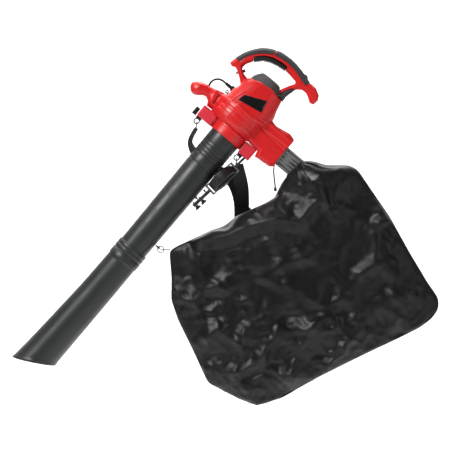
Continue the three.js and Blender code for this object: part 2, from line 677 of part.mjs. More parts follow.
// ---------- outlet adapter ----------
function adapterRing(z, grow) {
  const { x, halfWide, halfDeep } = ADAPTER;
  return levelRing(z, x - halfWide - grow, x + halfWide + grow, halfDeep + grow, {
    count: 24,
    power: 5,
  });
}
function outletAdapter() {
  const { x, z0, z1, wall } = ADAPTER;
  const body = loft([z0, z1].map((z) => adapterRing(z, 0)));
  const flutes = [];
  for (let i = -2; i <= 2; i++) {
    for (const side of [-1, 1]) {
      const y = side * (ADAPTER.halfDeep + 0.4);
      flutes.push(block(x + i * 11 - 1.5, x + i * 11 + 1.5, Math.min(y, y - side * 2.2),
        Math.max(y, y - side * 2.2), z1 - 5, DUCT.z - 2));
    }
  }
  return cut(body, loft([z0 + 5, z1 - 5].map((z) => adapterRing(z, -wall - 1.6))), ...flutes);
}

// ---------- support wheel on its arm, in the arm's frame (x towards the nozzle is negative) ----------
const arm = new THREE.Group();
arm.position.set(ARM.x, ARM.y, ARM.z);
arm.rotation.y = ARM.swing;
tool.add(arm);
function wheelArm() {
  const { x0, x1, out, half } = FORK;
  const frame = cut(
    block(x0 - 6, x1 + 6, -half, half, -out, out),
    block(x0, x1, -half - 1, half + 1, -FORK.in, FORK.in),
  );
  const stem = block(x1, 4, -half, half, -3.5, 3.5);
  const eye = cylinderY(0, 0, -half, half, 8);
  const tail = block(-214, x0 - 2, -half, half, -5, 5);
  const turnedFrame = tilted(frame);
  const studHoles = [
    ...THUMB_X.map((x) => cylinderZ(x, 0, -10, 10, 2.4, 12)),
    cylinderY(0, 0, -20, 20, 3.2),
    tilted(cylinderZ(WHEEL.x, 0, -40, 40, 3.2, 12)),
  ];
  return cut(join(turnedFrame, stem, eye, tail), ...studHoles);
}
// The fork and wheel stand turned about the arm's own length.
function tilted(body) {
  const geometry = geometryOf(body);
  return solid(geometry.rotateX(WHEEL.tilt));
}
function supportWheel() {
  const half = WHEEL.wide / 2;
  const { r } = WHEEL;
  const profile = [
    [-half, 3.6], [-half, 14], [-half + 3, 15], [-half + 3, r - 9], [-half, r - 8], [-half, r - 3],
    [-half + 3, r], [half - 3, r], [half, r - 3], [half, r - 8], [half - 3, r - 9], [half - 3, 15],
    [half, 14], [half, 3.6], [-half, 3.6],
  ];
  const spokes = [];
  for (let i = 0; i < 6; i++) {
    const spoke = new THREE.BoxGeometry(WHEEL.wide - 1, 2.4, 20).translate(0, 0, 23);
    spokes.push(solid(spoke.rotateX((2 * Math.PI * i) / 6)));
  }
  const lying = join(turned(profile, { sides: 24 }), ...spokes);
  const upright = geometryOf(lying).rotateY(-Math.PI / 2).translate(WHEEL.x, 0, 0);
  return tilted(solid(upright));
}
const wheelAxle = () =>
  tilted(join(
    cylinderZ(WHEEL.x, 0, -FORK.out - 1, FORK.out + 1, 3, 16),
    cylinderZ(WHEEL.x, 0, -FORK.out - 4.5, -FORK.out - GAP, 6, 16),
  ));
const armPivotBolt = () =>
  join(cylinderY(0, 0, -9, 37, 3), cylinderY(0, 0, 36 + GAP, 40, 6.5));
const THUMB_X = [-185, -207];
function thumbKnob(x) {
  const stud = cylinderZ(x, 0, -9, 9, 2.1, 12);
  const head = cylinderZ(x, 0, -12, -5.6, 5.5, 12);
  const wings = solid(new THREE.BoxGeometry(17, 3, 6).translate(x, 0, -13));
  return join(stud, head, wings);
}
const ARM_POST_X = [-162, -192];
const armPost = (x) => join(cylinderZ(x, 0, 5.3, 10.5, 2.6), cylinderZ(x, 0, 10.2, 13, 4));

// ---------- fittings that carry the shoulder strap ----------
const strapKnob = () => {
  const body = slab([[-4, 104.6], [19, 104.6], [19, 117], [-4, 117]], 20, { bevel: 3 });
  const grooves = [2, 8, 14].map((x) => block(x, x + 1.4, -20, -8.8, 100, 120));
  return cut(body, ...grooves);
};
const EYE = { y: 14, r: 7.5, thick: 2.2, upper: [-13, 92], lower: [-20, -60] };
const upperStrapEye = () =>
  join(
    block(-7, -GAP, EYE.y - 6, EYE.y + 6, 84, 101),
    wireRing(EYE.upper[0], EYE.y, EYE.upper[1], EYE.r, EYE.thick),
  );
const lowerStrapEye = () =>
  join(
    block(-14, -7 - GAP, EYE.y - 6, EYE.y + 6, -70, -54),
    wireRing(EYE.lower[0], EYE.y, EYE.lower[1], EYE.r, EYE.thick),
  );
// A ring of wire in the x-z plane.
function wireRing(x, y, z, r, thick) {
  const points = [];
  for (let i = 0; i < 12; i++) {
    const angle = (2 * Math.PI * i) / 12;
    points.push(at(x + r * Math.cos(angle), y, z + r * Math.sin(angle)));
  }
  return wire(points, thick, { closed: true, steps: 16 });
}

// ---------- pieces that hang, in the row frame ----------
const upperEye = inRow(EYE.upper[0], EYE.y, EYE.upper[1]);
const lowerEye = inRow(EYE.lower[0], EYE.y, EYE.lower[1]);
const HOOK = { long: 17, half: 6, wire: 1.7, neck: 2.5 };
const UPPER_HOOK_DOWN = at(-0.2, 0, -1).normalize();
const LOWER_HOOK_DOWN = at(0, 0.8, -1).normalize();

// A snap hook: an oval of wire linked through the eye, with a neck that holds the webbing.
function snapHook(eye, down) {
  const under = eye.clone().addScaledVector(at(0, 0, -1), EYE.r);
  const top = under.addScaledVector(down, -EYE.thick - HOOK.wire - 1.5);
  const side = down.clone().cross(at(1, 0, 0)).normalize();
  const points = [];
  for (let i = 0; i < 14; i++) {
    const angle = (2 * Math.PI * i) / 14;
    const along = (HOOK.long / 2) * (1 - Math.cos(angle));
    points.push(
      top.clone().addScaledVector(down, along).addScaledVector(side, HOOK.half * Math.sin(angle)),
    );
  }
  const oval = wire(points, HOOK.wire, { closed: true, steps: 18 });
  const end = top.clone().addScaledVector(down, HOOK.long - 1);
  const neck = wire([end, end.clone().addScaledVector(down, HOOK.neck)], 4, { steps: 2, sides: 10 });
  const tip = end.clone().addScaledVector(down, HOOK.neck + 2.5);
  return { body: join(oval, neck), tip };
}

function shoulderStrap(from, to) {
  const points = [
    from, at(-263, 19, -212), at(-265, 28, -230), at(-256, 42, -250), at(-234, 60, -274),
    at(-190, 69, -312), at(-152, 74, -342), at(-133, 84, -386), at(-124, 95, -440),
    at(-121, 103, -560), at(-120, 104, -690), at(-119, 95, -704), at(-118, 87, -690),
    at(-118, 86, -560), at(-118, 83, -450), at(-118, 73, -404), at(-120, 58, -350), to,
  ];
  const level = at(1, 0, 0);
  const widths = [
    at(0.3, 1, 0), at(0.3, 1, 0), at(0.3, 1, 0.1), at(0.4, 0.8, 0.4), at(0.45, 0.5, 0.7),
    at(0.5, 0.2, 0.8), at(0.7, 0, 0.6), at(1, 0, 0.2), ...Array(9).fill(level), at(1, 0.1, 0),
  ];
  return webbing(points, widths, STRAP.wide, STRAP.thick, 48);
}
// The slider that sets the strap's length rides on the near strand, just behind the bag's upper edge.
function strapSlider() {
  const slope = Math.atan2(10, 46);
  const frame = new THREE.BoxGeometry(47, 8, 22);
  const slot = new THREE.BoxGeometry(40, 4.8, 40);
  const placed = (geometry) => solid(geometry.rotateX(slope).translate(-118, 76, -418));
  return cut(placed(frame), placed(slot));
}

// ---------- bag ----------
const BAG_OUTLINE = [
  [6, -319], [50, -277], [84, -277], [112, -288], [182, -288], [206, -302], [238, -350], [294, -431],
  [350, -532], [400, -616], [432, -662], [432, -692], [412, -720], [378, -745], [322, -773],
  [210, -826], [98, -882], [-14, -944], [-78, -963], [-126, -946], [-216, -899], [-252, -820],
  [-300, -722], [-319, -666], [-318, -606], [-322, -536], [-294, -512], [-182, -459], [-130, -428],
  [-56, -395], [-28, -378], [-8, -336],
];
const BAG_MIDDLE = [48, -640];
function bagSkin(inset) {
  const rings = [];
  for (const angle of [-85, -50, -15, 15, 50, 85]) {
    const lift = THREE.MathUtils.degToRad(angle);
    const spread = Math.cos(lift) ** 0.45;
    const y = BAG.y + (BAG.halfDeep - inset) * Math.sin(lift);
    rings.push(
      BAG_OUTLINE.map(([x, z]) => {
        const out = at(x - BAG_MIDDLE[0], 0, z - BAG_MIDDLE[1]);
        const reach = out.length();
        out.setLength((reach - inset) * spread);
        return at(BAG_MIDDLE[0] + out.x, y, BAG_MIDDLE[1] + out.z);
      }),
    );
  }
  return loft(rings);
}
const toRow = (body) => solid(geometryOf(body).applyMatrix4(tool.matrixWorld));
function bag() {
  const sleeve = (grow, z0, z1) => toRow(loft([z0, z1].map((z) => adapterRing(z, grow))));
  const outside = join(bagSkin(0), sleeve(3, ADAPTER.z1 - 30, -203));
  const inside = join(bagSkin(BAG.cloth), sleeve(GAP, -330, -190));
  return largest(cut(outside, inside));
}

// ---------- the bag's hangers ----------
const HANGER = { x: -354, z: -53, ring: 9 };
const bagHangerLug = () =>
  cut(
    slab([[HANGER.x - 2.5, -44.4], [HANGER.x - 2.5, -59], [HANGER.x + 2.5, -59], [HANGER.x + 2.5, -44.4]],
      16, { bevel: 1 }),
    rod(HANGER.x - 9, HANGER.x + 9, 3.2, { z: HANGER.z, sides: 16 }),
  );
const bagHook = () => wireRing(HANGER.x, 0, HANGER.z - HANGER.ring, HANGER.ring, 1.6);
function bagElastic() {
  const middle = inRow(HANGER.x, 0, HANGER.z - HANGER.ring).add(at(13, 2, -1));
  const points = [];
  for (let i = 0; i < 12; i++) {
    const angle = (2 * Math.PI * i) / 12;
    points.push(middle.clone().add(at(13.5 * Math.cos(angle), 6 * Math.sin(angle), 0)));
  }
  return wire(points, 1.4, { closed: true, steps: 16 });
}
const TETHER = [at(-31, 0, -295), at(-31, 0, -312), at(-29, -1, -332), at(-27, 0, -351)];
const bagTether = () => wire(TETHER, 2.2, { steps: 8, sides: 8 });
const tetherToggle = () =>
  wire([at(-27, 0, -351 - GAP), at(-26.6, 0, -362)], 4.2, { steps: 2, sides: 12 });

// ---------- mains lead ----------
// Out of the strain relief, over in one bend, then down behind the horn, the lug and the tube.
const leadExit = inRow(STRAIN.x, 0, STRAIN.z1 + GAP);
const leadWay = inRow(STRAIN.x, 0, STRAIN.z1 + 9).sub(leadExit).normalize();
const LEAD_BEND = 25.5;
function leadPoints() {
  const start = leadExit.clone().addScaledVector(leadWay, 9);
  const centre = start.clone().add(at(-LEAD_BEND * leadWay.z, 0, LEAD_BEND * leadWay.x));
  const first = Math.atan2(start.z - centre.z, start.x - centre.x);
  const points = [leadExit.clone(), leadExit.clone().addScaledVector(leadWay, 4.5)];
  for (const share of [0, 0.2, 0.4, 0.6, 0.8, 1]) {
    const angle = first + share * (Math.PI - first);
    points.push(
      centre.clone().add(at(LEAD_BEND * Math.cos(angle), 25 * share ** 2.2, LEAD_BEND * Math.sin(angle))),
    );
  }
  const { x, z } = points.at(-1);
  for (const [drop, y] of [[18, 38], [38, 49], [60, 57], [84, 62], [108, 65], [132, 66]]) {
    points.push(at(x + Math.min(drop, 108) * 0.2, y, z - drop));
  }
  return points;
}
function powerLead() {
  const curve = new THREE.CatmullRomCurve3(leadPoints());
  const section = new THREE.Shape();
  section.absarc(0, 0, CORD_R, 0, 2 * Math.PI);
  return solid(
    new THREE.ExtrudeGeometry(section, {
      steps: 22,
      curveSegments: 4,
      bevelEnabled: false,
      extrudePath: curve,
    }),
  );
}
function powerPlug() {
  const top = leadPoints().at(-1);
  const sections = [[0.3, 5], [14, 5.5], [18, 9], [26, 16], [40, 17], [46, 17], [48, 15]];
  const rings = sections.map(([drop, r]) => {
    const ring = [];
    for (let i = 0; i < 20; i++) {
      const angle = (2 * Math.PI * i) / 20;
      ring.push(at(top.x + r * Math.cos(angle), top.y + 0.72 * r * Math.sin(angle), top.z - drop));
    }
    return ring;
  });
  const pins = [-9.5, 9.5].map((x) => {
    const pin = new THREE.CylinderGeometry(2.3, 2.3, 21, 10).rotateX(Math.PI / 2);
    return solid(pin.translate(top.x + x, top.y, top.z - 57));
  });
  return join(loft(rings), ...pins);
}

// ---------- assembly ----------
const { near, far } = housingShells();
add(tool, "housing_shell_near", near, RED);
add(tool, "housing_shell_far", far, RED);
add(tool, "tube_socket", tubeSocket(), RED);
add(tool, "upper_lug", lugBlock(LUG.upper), LUG_RED);
add(tool, "lower_lug", cut(lugBlock(LUG.lower), armRoom()), LUG_RED);
add(tool, "vent_cap", ventCap(), VENT_GREY);
add(tool, "grip_front", gripOver(GRIP_FRONT_REGION), RUBBER);
add(tool, "grip_rear", gripOver(GRIP_REAR_REGION), RUBBER);
add(tool, "rear_boot", rearBoot(), RUBBER);
add(tool, "name_plate", badgePlate(), BLACK);
add(tool, "strain_relief", strainRelief(), BLACK);
add(tool, "cord_retainer", cordRetainer(), BLACK);
SCREWS.forEach(([x, z, seat], i) => add(tool, `housing_screw_${i + 1}`, screwBody(x, z, seat), STEEL));

add(tool, "upper_tube", upperTube(), TUBE_GREY);
add(tool, "lower_tube", lowerTube(), TUBE_GREY);
add(tool, "outlet_adapter", outletAdapter(), ADAPTER_GREY);

add(tool, "impeller", impeller(), BLACK);
add(tool, "impeller_nut", impellerNut(), STEEL);
add(tool, "rotor_shaft", rotorShaft(), STEEL);
add(tool, "armature", armature(), COPPER);
add(tool, "commutator", commutator(), COPPER);
add(tool, "cooling_fan", coolingFan(), BLACK);
add(tool, "motor_stator", motorStator(), STEEL);
add(tool, "front_bearing", bearing(94.3, 103), STEEL);
add(tool, "rear_bearing", bearing(177, 185), STEEL);
add(tool, "brush_holder_upper", brushHolder(1), BLACK);
add(tool, "brush_holder_lower", brushHolder(-1), BLACK);
add(tool, "switch_module", switchModule(), BLACK);

add(tool, "trigger", trigger(), BLACK);
add(tool, "lock_button", lockButton(), BLACK);
add(tool, "speed_dial", speedDial(), BLACK);
add(tool, "mode_lever", modeLever(), RED);

add(arm, "wheel_arm", wheelArm(), STEEL);
add(arm, "support_wheel", supportWheel(), BLACK);
add(arm, "wheel_axle", wheelAxle(), STEEL);
add(arm, "arm_pivot_bolt", armPivotBolt(), STEEL);
THUMB_X.forEach((x, i) => add(arm, `arm_knob_${i + 1}`, thumbKnob(x), BLACK));
ARM_POST_X.forEach((x, i) => add(arm, `arm_post_${i + 1}`, armPost(x), BLACK));

const upperHook = snapHook(upperEye, UPPER_HOOK_DOWN);
const lowerHook = snapHook(lowerEye, LOWER_HOOK_DOWN);
add(tool, "strap_knob", strapKnob(), BLACK);
add(tool, "strap_eye_upper", upperStrapEye(), STEEL);
add(tool, "strap_eye_lower", lowerStrapEye(), STEEL);
add(blower, "snap_hook_upper", upperHook.body, BLACK);
add(blower, "snap_hook_lower", lowerHook.body, BLACK);
add(blower, "shoulder_strap", shoulderStrap(upperHook.tip, lowerHook.tip), NYLON);
add(blower, "strap_slider", strapSlider(), BLACK);

add(blower, "bag", bag(), NYLON);
add(tool, "bag_hanger_lug", bagHangerLug(), BLACK);
add(tool, "bag_hook", bagHook(), STEEL);
add(blower, "bag_elastic", bagElastic(), BLACK);
add(blower, "bag_tether", bagTether(), BLACK);
add(blower, "tether_toggle", tetherToggle(), BLACK);

add(blower, "power_lead", powerLead(), BLACK);
add(blower, "power_plug", powerPlug(), BLACK);

export default blower;
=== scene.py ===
"""Electric leaf blower and vacuum with its collection bag, hanging from the hand by the arched handle.

Row frame: metres, +Z up, the origin at the centre of the handle's grip, -Y the side with the name plate.
The machine is described in a tool frame in millimetres: x up the blow tube's axis towards the motor,
z towards the front horn, y across. The tool frame leans back by LEAN.
"""

import json
import math

import bmesh
import bpy
import numpy as np
from mathutils import Matrix, Vector, noise

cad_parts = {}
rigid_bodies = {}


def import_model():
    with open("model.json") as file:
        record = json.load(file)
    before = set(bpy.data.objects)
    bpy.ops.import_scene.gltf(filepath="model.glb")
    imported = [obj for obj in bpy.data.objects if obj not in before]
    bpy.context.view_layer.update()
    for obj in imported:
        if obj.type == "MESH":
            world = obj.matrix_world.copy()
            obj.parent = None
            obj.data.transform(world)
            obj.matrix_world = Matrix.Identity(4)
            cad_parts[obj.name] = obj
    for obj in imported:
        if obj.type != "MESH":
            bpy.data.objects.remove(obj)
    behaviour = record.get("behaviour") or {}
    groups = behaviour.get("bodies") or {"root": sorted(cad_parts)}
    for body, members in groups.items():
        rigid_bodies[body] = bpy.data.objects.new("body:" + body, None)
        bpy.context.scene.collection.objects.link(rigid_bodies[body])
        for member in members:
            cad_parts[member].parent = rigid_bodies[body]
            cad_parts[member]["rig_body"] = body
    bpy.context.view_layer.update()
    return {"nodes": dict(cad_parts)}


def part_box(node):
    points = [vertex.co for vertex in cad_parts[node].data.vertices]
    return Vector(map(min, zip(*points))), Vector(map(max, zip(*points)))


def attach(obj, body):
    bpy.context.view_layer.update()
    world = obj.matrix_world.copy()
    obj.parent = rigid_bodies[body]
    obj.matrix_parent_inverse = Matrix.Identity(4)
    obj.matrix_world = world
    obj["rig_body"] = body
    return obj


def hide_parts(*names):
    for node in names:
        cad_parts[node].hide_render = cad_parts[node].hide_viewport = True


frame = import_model()

LEAN = math.radians(50.1)
GRIP_X, GRIP_Z = 271.6, 7.8
MM = 0.001


def tool_matrix():
    """The tool frame in millimetres to the row frame in metres."""
    turn = Matrix.Rotation(-LEAN, 4, "Y")
    return Matrix.Scale(MM, 4) @ turn @ Matrix.Translation((-GRIP_X, 0, -GRIP_Z))


TOOL = tool_matrix()
TO_TOOL = TOOL.inverted()
ARM = (10, -12, -80)  # the wheel arm's pivot in the tool frame
ARM_SWING = math.radians(6.9)  # how far the arm leans at rest
ARM_FRAME = TOOL @ Matrix.Translation(ARM) @ Matrix.Rotation(ARM_SWING, 4, "Y")
CAMERA_AT, SENSOR_MM, LENS_MM = (-0.162, -5.0, -0.462), 36, 141.6


# ---------- camera, floor and lights ----------
def camera():
    data = bpy.data.cameras.new("camera")
    data.sensor_width, data.lens = SENSOR_MM, LENS_MM
    eye = bpy.data.objects.new("camera", data)
    eye.location = CAMERA_AT
    eye.rotation_euler = (math.radians(90), 0, 0)
    bpy.context.scene.collection.objects.link(eye)
    bpy.context.scene.camera = eye


def soft_light(name, place, aim, size, power):
    data = bpy.data.lights.new(name, "AREA")
    data.shape, data.size, data.size_y, data.energy = "RECTANGLE", size[0], size[1], power
    lamp = bpy.data.objects.new(name, data)
    lamp.location = place
    lamp.rotation_euler = (Vector(aim) - Vector(place)).to_track_quat("-Z", "Y").to_euler()
    bpy.context.scene.collection.objects.link(lamp)


def studio():
    """A pale floor that sweeps up into a bright backdrop, a dim room and soft lights.

    The backdrop stands 3.2 m behind the machine, so a view from behind shows only the backdrop.
    """
    world = bpy.data.worlds.new("room")
    world.use_nodes = True
    room = world.node_tree.nodes["Background"]
    room.inputs["Color"].default_value = (1, 1, 1, 1)
    room.inputs["Strength"].default_value = 0.13
    bpy.context.scene.world = world
    bpy.context.scene.view_settings.view_transform = "Standard"

    floor_z, front_y, back_y, bend, half, top_z, steps = -1.6, -7.0, 3.2, 1.2, 9.0, 6.0, 12
    profile = [(front_y, floor_z), (back_y - bend, floor_z)]
    for i in range(1, steps + 1):
        angle = i / steps * math.pi / 2
        profile.append((back_y - bend + bend * math.sin(angle), floor_z + bend * (1 - math.cos(angle))))
    profile.append((back_y, top_z))
    points = [Vector((x, y, z)) for x in (-half, half) for y, z in profile]
    count = len(profile)
    faces = [(i, i + count, i + count + 1, i + 1) for i in range(count - 1)]
    mesh = bpy.data.meshes.new("floor")
    mesh.from_pydata(points, [], faces)
    mesh.shade_smooth()
    floor = bpy.data.objects.new("floor", mesh)
    bpy.context.scene.collection.objects.link(floor)
    pale = Shader("pale_floor", (0.94, 0.94, 0.94), 0.8)
    pale.mottle(3, 0.02)
    mesh.materials.append(pale.material)

    middle = (-0.1, 0, -0.35)
    soft_light("key", (-2.0, -2.2, 1.7), middle, (1.2, 1.2), 92)
    soft_light("fill", (2.4, -2.4, -0.1), middle, (1.2, 1.8), 10)
    soft_light("top", (0.1, 0.5, 2.2), middle, (1.6, 1.0), 40)
    soft_light("backdrop", (0, 1.2, 2.5), (0, 3.2, -0.4), (4.0, 1.0), 150)
    soft_light("backdrop_low", (0, 1.4, -1.5), (0, 3.2, -0.5), (4.0, 0.6), 40)


# ---------- materials ----------
class Shader:
    """A Principled material with procedural detail, built up by its methods."""

    def __init__(self, name, colour, rough, metal=0.0, gloss=0.5):
        self.material = bpy.data.materials.new(name)
        self.material.use_nodes = True
        self.nodes = self.material.node_tree.nodes
        self.links = self.material.node_tree.links
        self.shader = self.nodes["Principled BSDF"]
        self.colour, self.rough = colour, rough
        self.shader.inputs["Base Color"].default_value = (*colour, 1)
        self.shader.inputs["Roughness"].default_value = rough
        self.shader.inputs["Metallic"].default_value = metal
        self.shader.inputs["Specular IOR Level"].default_value = gloss
        self.place = self.nodes.new("ShaderNodeTexCoord").outputs["Object"]
        self.tone = None
        self.surface = None

    def noise(self, scale, detail=3.0, vector=None):
        made = self.nodes.new("ShaderNodeTexNoise")
        made.inputs["Scale"].default_value = scale
        made.inputs["Detail"].default_value = detail
        self.links.new(vector or self.place, made.inputs["Vector"])
        return made.outputs["Fac"]

    def math(self, operation, *values):
        made = self.nodes.new("ShaderNodeMath")
        made.operation = operation
        for socket, value in zip(made.inputs, values):
            if isinstance(value, (int, float)):
                socket.default_value = value
            else:
                self.links.new(value, socket)
        return made.outputs[0]

    def ramp(self, value, low, high, start=0.3, end=0.7):
        made = self.nodes.new("ShaderNodeMapRange")
        self.links.new(value, made.inputs["Value"])
        for name, amount in (("From Min", start), ("From Max", end), ("To Min", low), ("To Max", high)):
            made.inputs[name].default_value = amount
        return made.outputs["Result"]

    def tint(self, share, colour):
        """Mixes a colour over the base by a share that varies over the surface."""
        mix = self.nodes.new("ShaderNodeMix")
        mix.data_type = "RGBA"
        self.links.new(share, mix.inputs["Factor"])
        if self.tone is None:
            mix.inputs["A"].default_value = (*self.colour, 1)
        else:
            self.links.new(self.tone, mix.inputs["A"])
        mix.inputs["B"].default_value = (*colour, 1)
        self.tone = mix.outputs["Result"]
        self.links.new(self.tone, self.shader.inputs["Base Color"])

    def mottle(self, scale, amount, rough_amount=0.05):
        """Slow changes of tone and roughness over the surface."""
        darker = [c * (1 - 6 * amount) for c in self.colour]
        self.tint(self.ramp(self.noise(scale), 0.0, 0.5), darker)
        rough = self.ramp(self.noise(scale * 2.7), self.rough - rough_amount, self.rough + rough_amount)
        self.links.new(rough, self.shader.inputs["Roughness"])

    def bump(self, height, distance, strength=1.0):
        made = self.nodes.new("ShaderNodeBump")
        made.inputs["Distance"].default_value = distance
        made.inputs["Strength"].default_value = strength
        self.links.new(height, made.inputs["Height"])
        if self.surface is not None:
            self.links.new(self.surface, made.inputs["Normal"])
        self.surface = made.outputs["Normal"]
        self.links.new(self.surface, self.shader.inputs["Normal"])

    def worn_edges(self, colour, amount=0.35):
        """Rubbed lighter where the surface turns sharply outwards."""
        sharp = self.nodes.new("ShaderNodeNewGeometry").outputs["Pointiness"]
        edge = self.ramp(sharp, 0.0, amount, 0.52, 0.6)
        patchy = self.math("MULTIPLY", edge, self.ramp(self.noise(60), 0.2, 1.0))
        self.tint(patchy, colour)

    def painted_groove_shade(self, amount):
        """Painted shade: darker towards near black where the surface turns sharply inwards."""
        sharp = self.nodes.new("ShaderNodeNewGeometry").outputs["Pointiness"]
        # painted shade: concave grooves are darkened as though shadowed
        self.tint(self.ramp(sharp, amount, 0.0, 0.42, 0.49), (0.004, 0.004, 0.004))


def moulded_plastic(name, colour, rough, edge, grain=1400, depth=0.00003, groove_shade=0.0):
    """Fine-grained plastic with slight waves, paler along its edges and, if asked, with painted shade
    darkening its grooves.
    """
    made = Shader(name, colour, rough)
    made.mottle(14, 0.03)
    made.bump(made.noise(grain, 2), depth)
    made.bump(made.noise(35, 2), 0.00022, 0.5)
    made.worn_edges(edge)
    if groove_shade:
        made.painted_groove_shade(groove_shade)
    return made.material


def rubber(name, colour, rough, pitch=0.0016):
    """Fine stippled rubber."""
    made = Shader(name, colour, rough, gloss=0.3)
    made.mottle(30, 0.04)
    cells = made.nodes.new("ShaderNodeTexVoronoi")
    cells.inputs["Scale"].default_value = 1 / pitch
    made.links.new(made.place, cells.inputs["Vector"])
    made.bump(cells.outputs["Distance"], 0.00025, 0.7)
    made.worn_edges([min(1, c * 2.2) for c in colour], 0.5)
    return made.material


def brushed(name, colour, rough):
    """Metal with fine lines along one way."""
    made = Shader(name, colour, rough, metal=1.0)
    stretch = made.nodes.new("ShaderNodeMapping")
    stretch.inputs["Scale"].default_value = (60, 900, 60)
    made.links.new(made.place, stretch.inputs["Vector"])
    lines = made.noise(1, 4, stretch.outputs["Vector"])
    made.links.new(made.ramp(lines, rough - 0.1, rough + 0.15), made.shader.inputs["Roughness"])
    made.bump(lines, 0.00004)
    made.tint(made.ramp(made.noise(40), 0.0, 0.4), [c * 0.55 for c in colour])
    return made.material


def windings(name, colour):
    """Enamelled wire laid side by side round the motor's axis."""
    made = Shader(name, colour, 0.3, metal=1.0)
    wires = made.nodes.new("ShaderNodeTexWave")
    wires.inputs["Scale"].default_value = 700
    wires.inputs["Distortion"].default_value = 0.6
    made.links.new(made.place, wires.inputs["Vector"])
    made.bump(wires.outputs["Fac"], 0.0004)
    made.tint(made.ramp(wires.outputs["Fac"], 0.6, 0.0), [c * 0.3 for c in colour])
    return made.material


def woven_band(name, colour, thread=0.0016):
    """Twill webbing: the band's own width and length run along the vector attribute 'cut'."""
    made = Shader(name, colour, 0.75, gloss=0.25)
    cut = made.nodes.new("ShaderNodeAttribute")
    cut.attribute_name = "cut"
    split = made.nodes.new("ShaderNodeSeparateXYZ")
    made.links.new(cut.outputs["Vector"], split.inputs["Vector"])
    across, along = split.outputs["X"], split.outputs["Y"]
    turn = 2 * math.pi / thread
    twill = made.math("SINE", made.math("MULTIPLY", made.math("ADD", across, along), turn))
    ribs = made.math("SINE", made.math("MULTIPLY", across, turn * 1.25))
    weave = made.math("ADD", twill, made.math("MULTIPLY", ribs, 0.6))
    made.bump(weave, 0.0003, 0.8)
    made.tint(made.ramp(weave, 0.0, 0.7, -0.8, 1.6), [min(1, c * 3.2) for c in colour])
    made.tint(made.ramp(made.noise(25), 0.0, 0.4), [c * 0.4 for c in colour])
    made.shader.inputs["Sheen Weight"].default_value = 0.15
    made.shader.inputs["Sheen Roughness"].default_value = 0.5
    return made.material


def bag_nylon(name, colour, thread=0.0011):
    """Thin coated nylon: a fine square weave under a smooth coating, with small creases pressed into it and
    painted highlights along their ridges.
    """
    made = Shader(name, colour, 0.4, gloss=0.4)
    split = made.nodes.new("ShaderNodeSeparateXYZ")
    made.links.new(made.place, split.inputs["Vector"])
    turn = 2 * math.pi / thread
    warp = made.math("SINE", made.math("MULTIPLY", split.outputs["X"], turn))
    weft = made.math("SINE", made.math("MULTIPLY", split.outputs["Z"], turn))
    made.bump(made.math("MULTIPLY", warp, weft), 0.00005, 0.6)
    folds = made.nodes.new("ShaderNodeTexNoise")
    folds.noise_type = "RIDGED_MULTIFRACTAL"
    folds.inputs["Scale"].default_value = 14
    folds.inputs["Detail"].default_value = 4
    made.links.new(made.place, folds.inputs["Vector"])
    made.bump(folds.outputs["Fac"], 0.0022, 0.55)
    made.mottle(6, 0.05, 0.07)
    # painted highlight: the crease ridges are lightened as if catching the light
    made.tint(made.ramp(folds.outputs["Fac"], 0.0, 0.35, 0.5, 1.2), [c * 2.4 for c in colour])
    made.shader.inputs["Sheen Weight"].default_value = 0.06
    made.shader.inputs["Sheen Roughness"].default_value = 0.4
    return made.material


def materials():
    return {
        "red": moulded_plastic("housing_red", (0.78, 0.012, 0.014), 0.36, (0.9, 0.09, 0.09)),
        "lug": moulded_plastic("lug_red", (0.8, 0.035, 0.06), 0.42, (0.9, 0.12, 0.14)),
        "tube": moulded_plastic("tube_charcoal", (0.026, 0.028, 0.028), 0.4, (0.07, 0.07, 0.07),
                                2200, 0.00004),
        "black": moulded_plastic("black_plastic", (0.012, 0.012, 0.012), 0.42, (0.05, 0.05, 0.05)),
        # the vent cap and the adapter get painted shade in their grooves
        "vent": moulded_plastic("vent_grey", (0.2, 0.185, 0.185), 0.5, (0.34, 0.34, 0.34), groove_shade=0.9),
        "adapter": moulded_plastic("adapter_grey", (0.17, 0.17, 0.175), 0.4, (0.42, 0.42, 0.42), groove_shade=0.9),
        "plate": moulded_plastic("plate_black", (0.006, 0.006, 0.007), 0.18, (0.03, 0.03, 0.03)),
        "grip": rubber("grip_rubber", (0.05, 0.05, 0.052), 0.62),
        "lead": rubber("lead_rubber", (0.011, 0.011, 0.011), 0.5, 0.0025),
        "steel": brushed("brushed_steel", (0.55, 0.55, 0.55), 0.32),
        "dark_steel": brushed("blackened_steel", (0.11, 0.11, 0.11), 0.4),
        "copper": windings("copper_winding", (0.6, 0.28, 0.12)),
        "webbing": woven_band("strap_webbing", (0.014, 0.014, 0.015)),
        "nylon": bag_nylon("bag_nylon", (0.0042, 0.0047, 0.0045)),
    }


# ---------- mesh helpers ----------
def link(name, mesh):
    made = bpy.data.objects.new(name, mesh)
    bpy.context.scene.collection.objects.link(made)
    return made


def settle(piece):
    """Applies a piece's modifiers to its mesh."""
    graph = bpy.context.evaluated_depsgraph_get()
    mesh = bpy.data.meshes.new_from_object(piece.evaluated_get(graph), preserve_all_data_layers=True,
                                           depsgraph=graph)
    piece.modifiers.clear()
    piece.data = mesh


def finished(piece, body, look, slot, *nodes):
    """Smooth shading, a material, a body to ride on, and the CAD nodes that the piece stands for."""
    piece.data.materials.clear()
    piece.data.materials.append(LOOKS[look])
    piece.data.shade_smooth()
    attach(piece, body)
    if nodes:
        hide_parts(*nodes)


def points_of(piece):
    flat = np.empty(len(piece.data.vertices) * 3)
    piece.data.vertices.foreach_get("co", flat)
    return flat.reshape(-1, 3)


def normals_of(piece):
    flat = np.empty(len(piece.data.vertices) * 3)
    piece.data.vertices.foreach_get("normal", flat)
    return flat.reshape(-1, 3)


def put_points(piece, points):
    piece.data.vertices.foreach_set("co", points.ravel())
    piece.data.update()


def moved_by(matrix, points):
    """Rows of points through a 4x4 matrix."""
    turn = np.array(matrix)
    return points @ turn[:3, :3].T + turn[:3, 3]


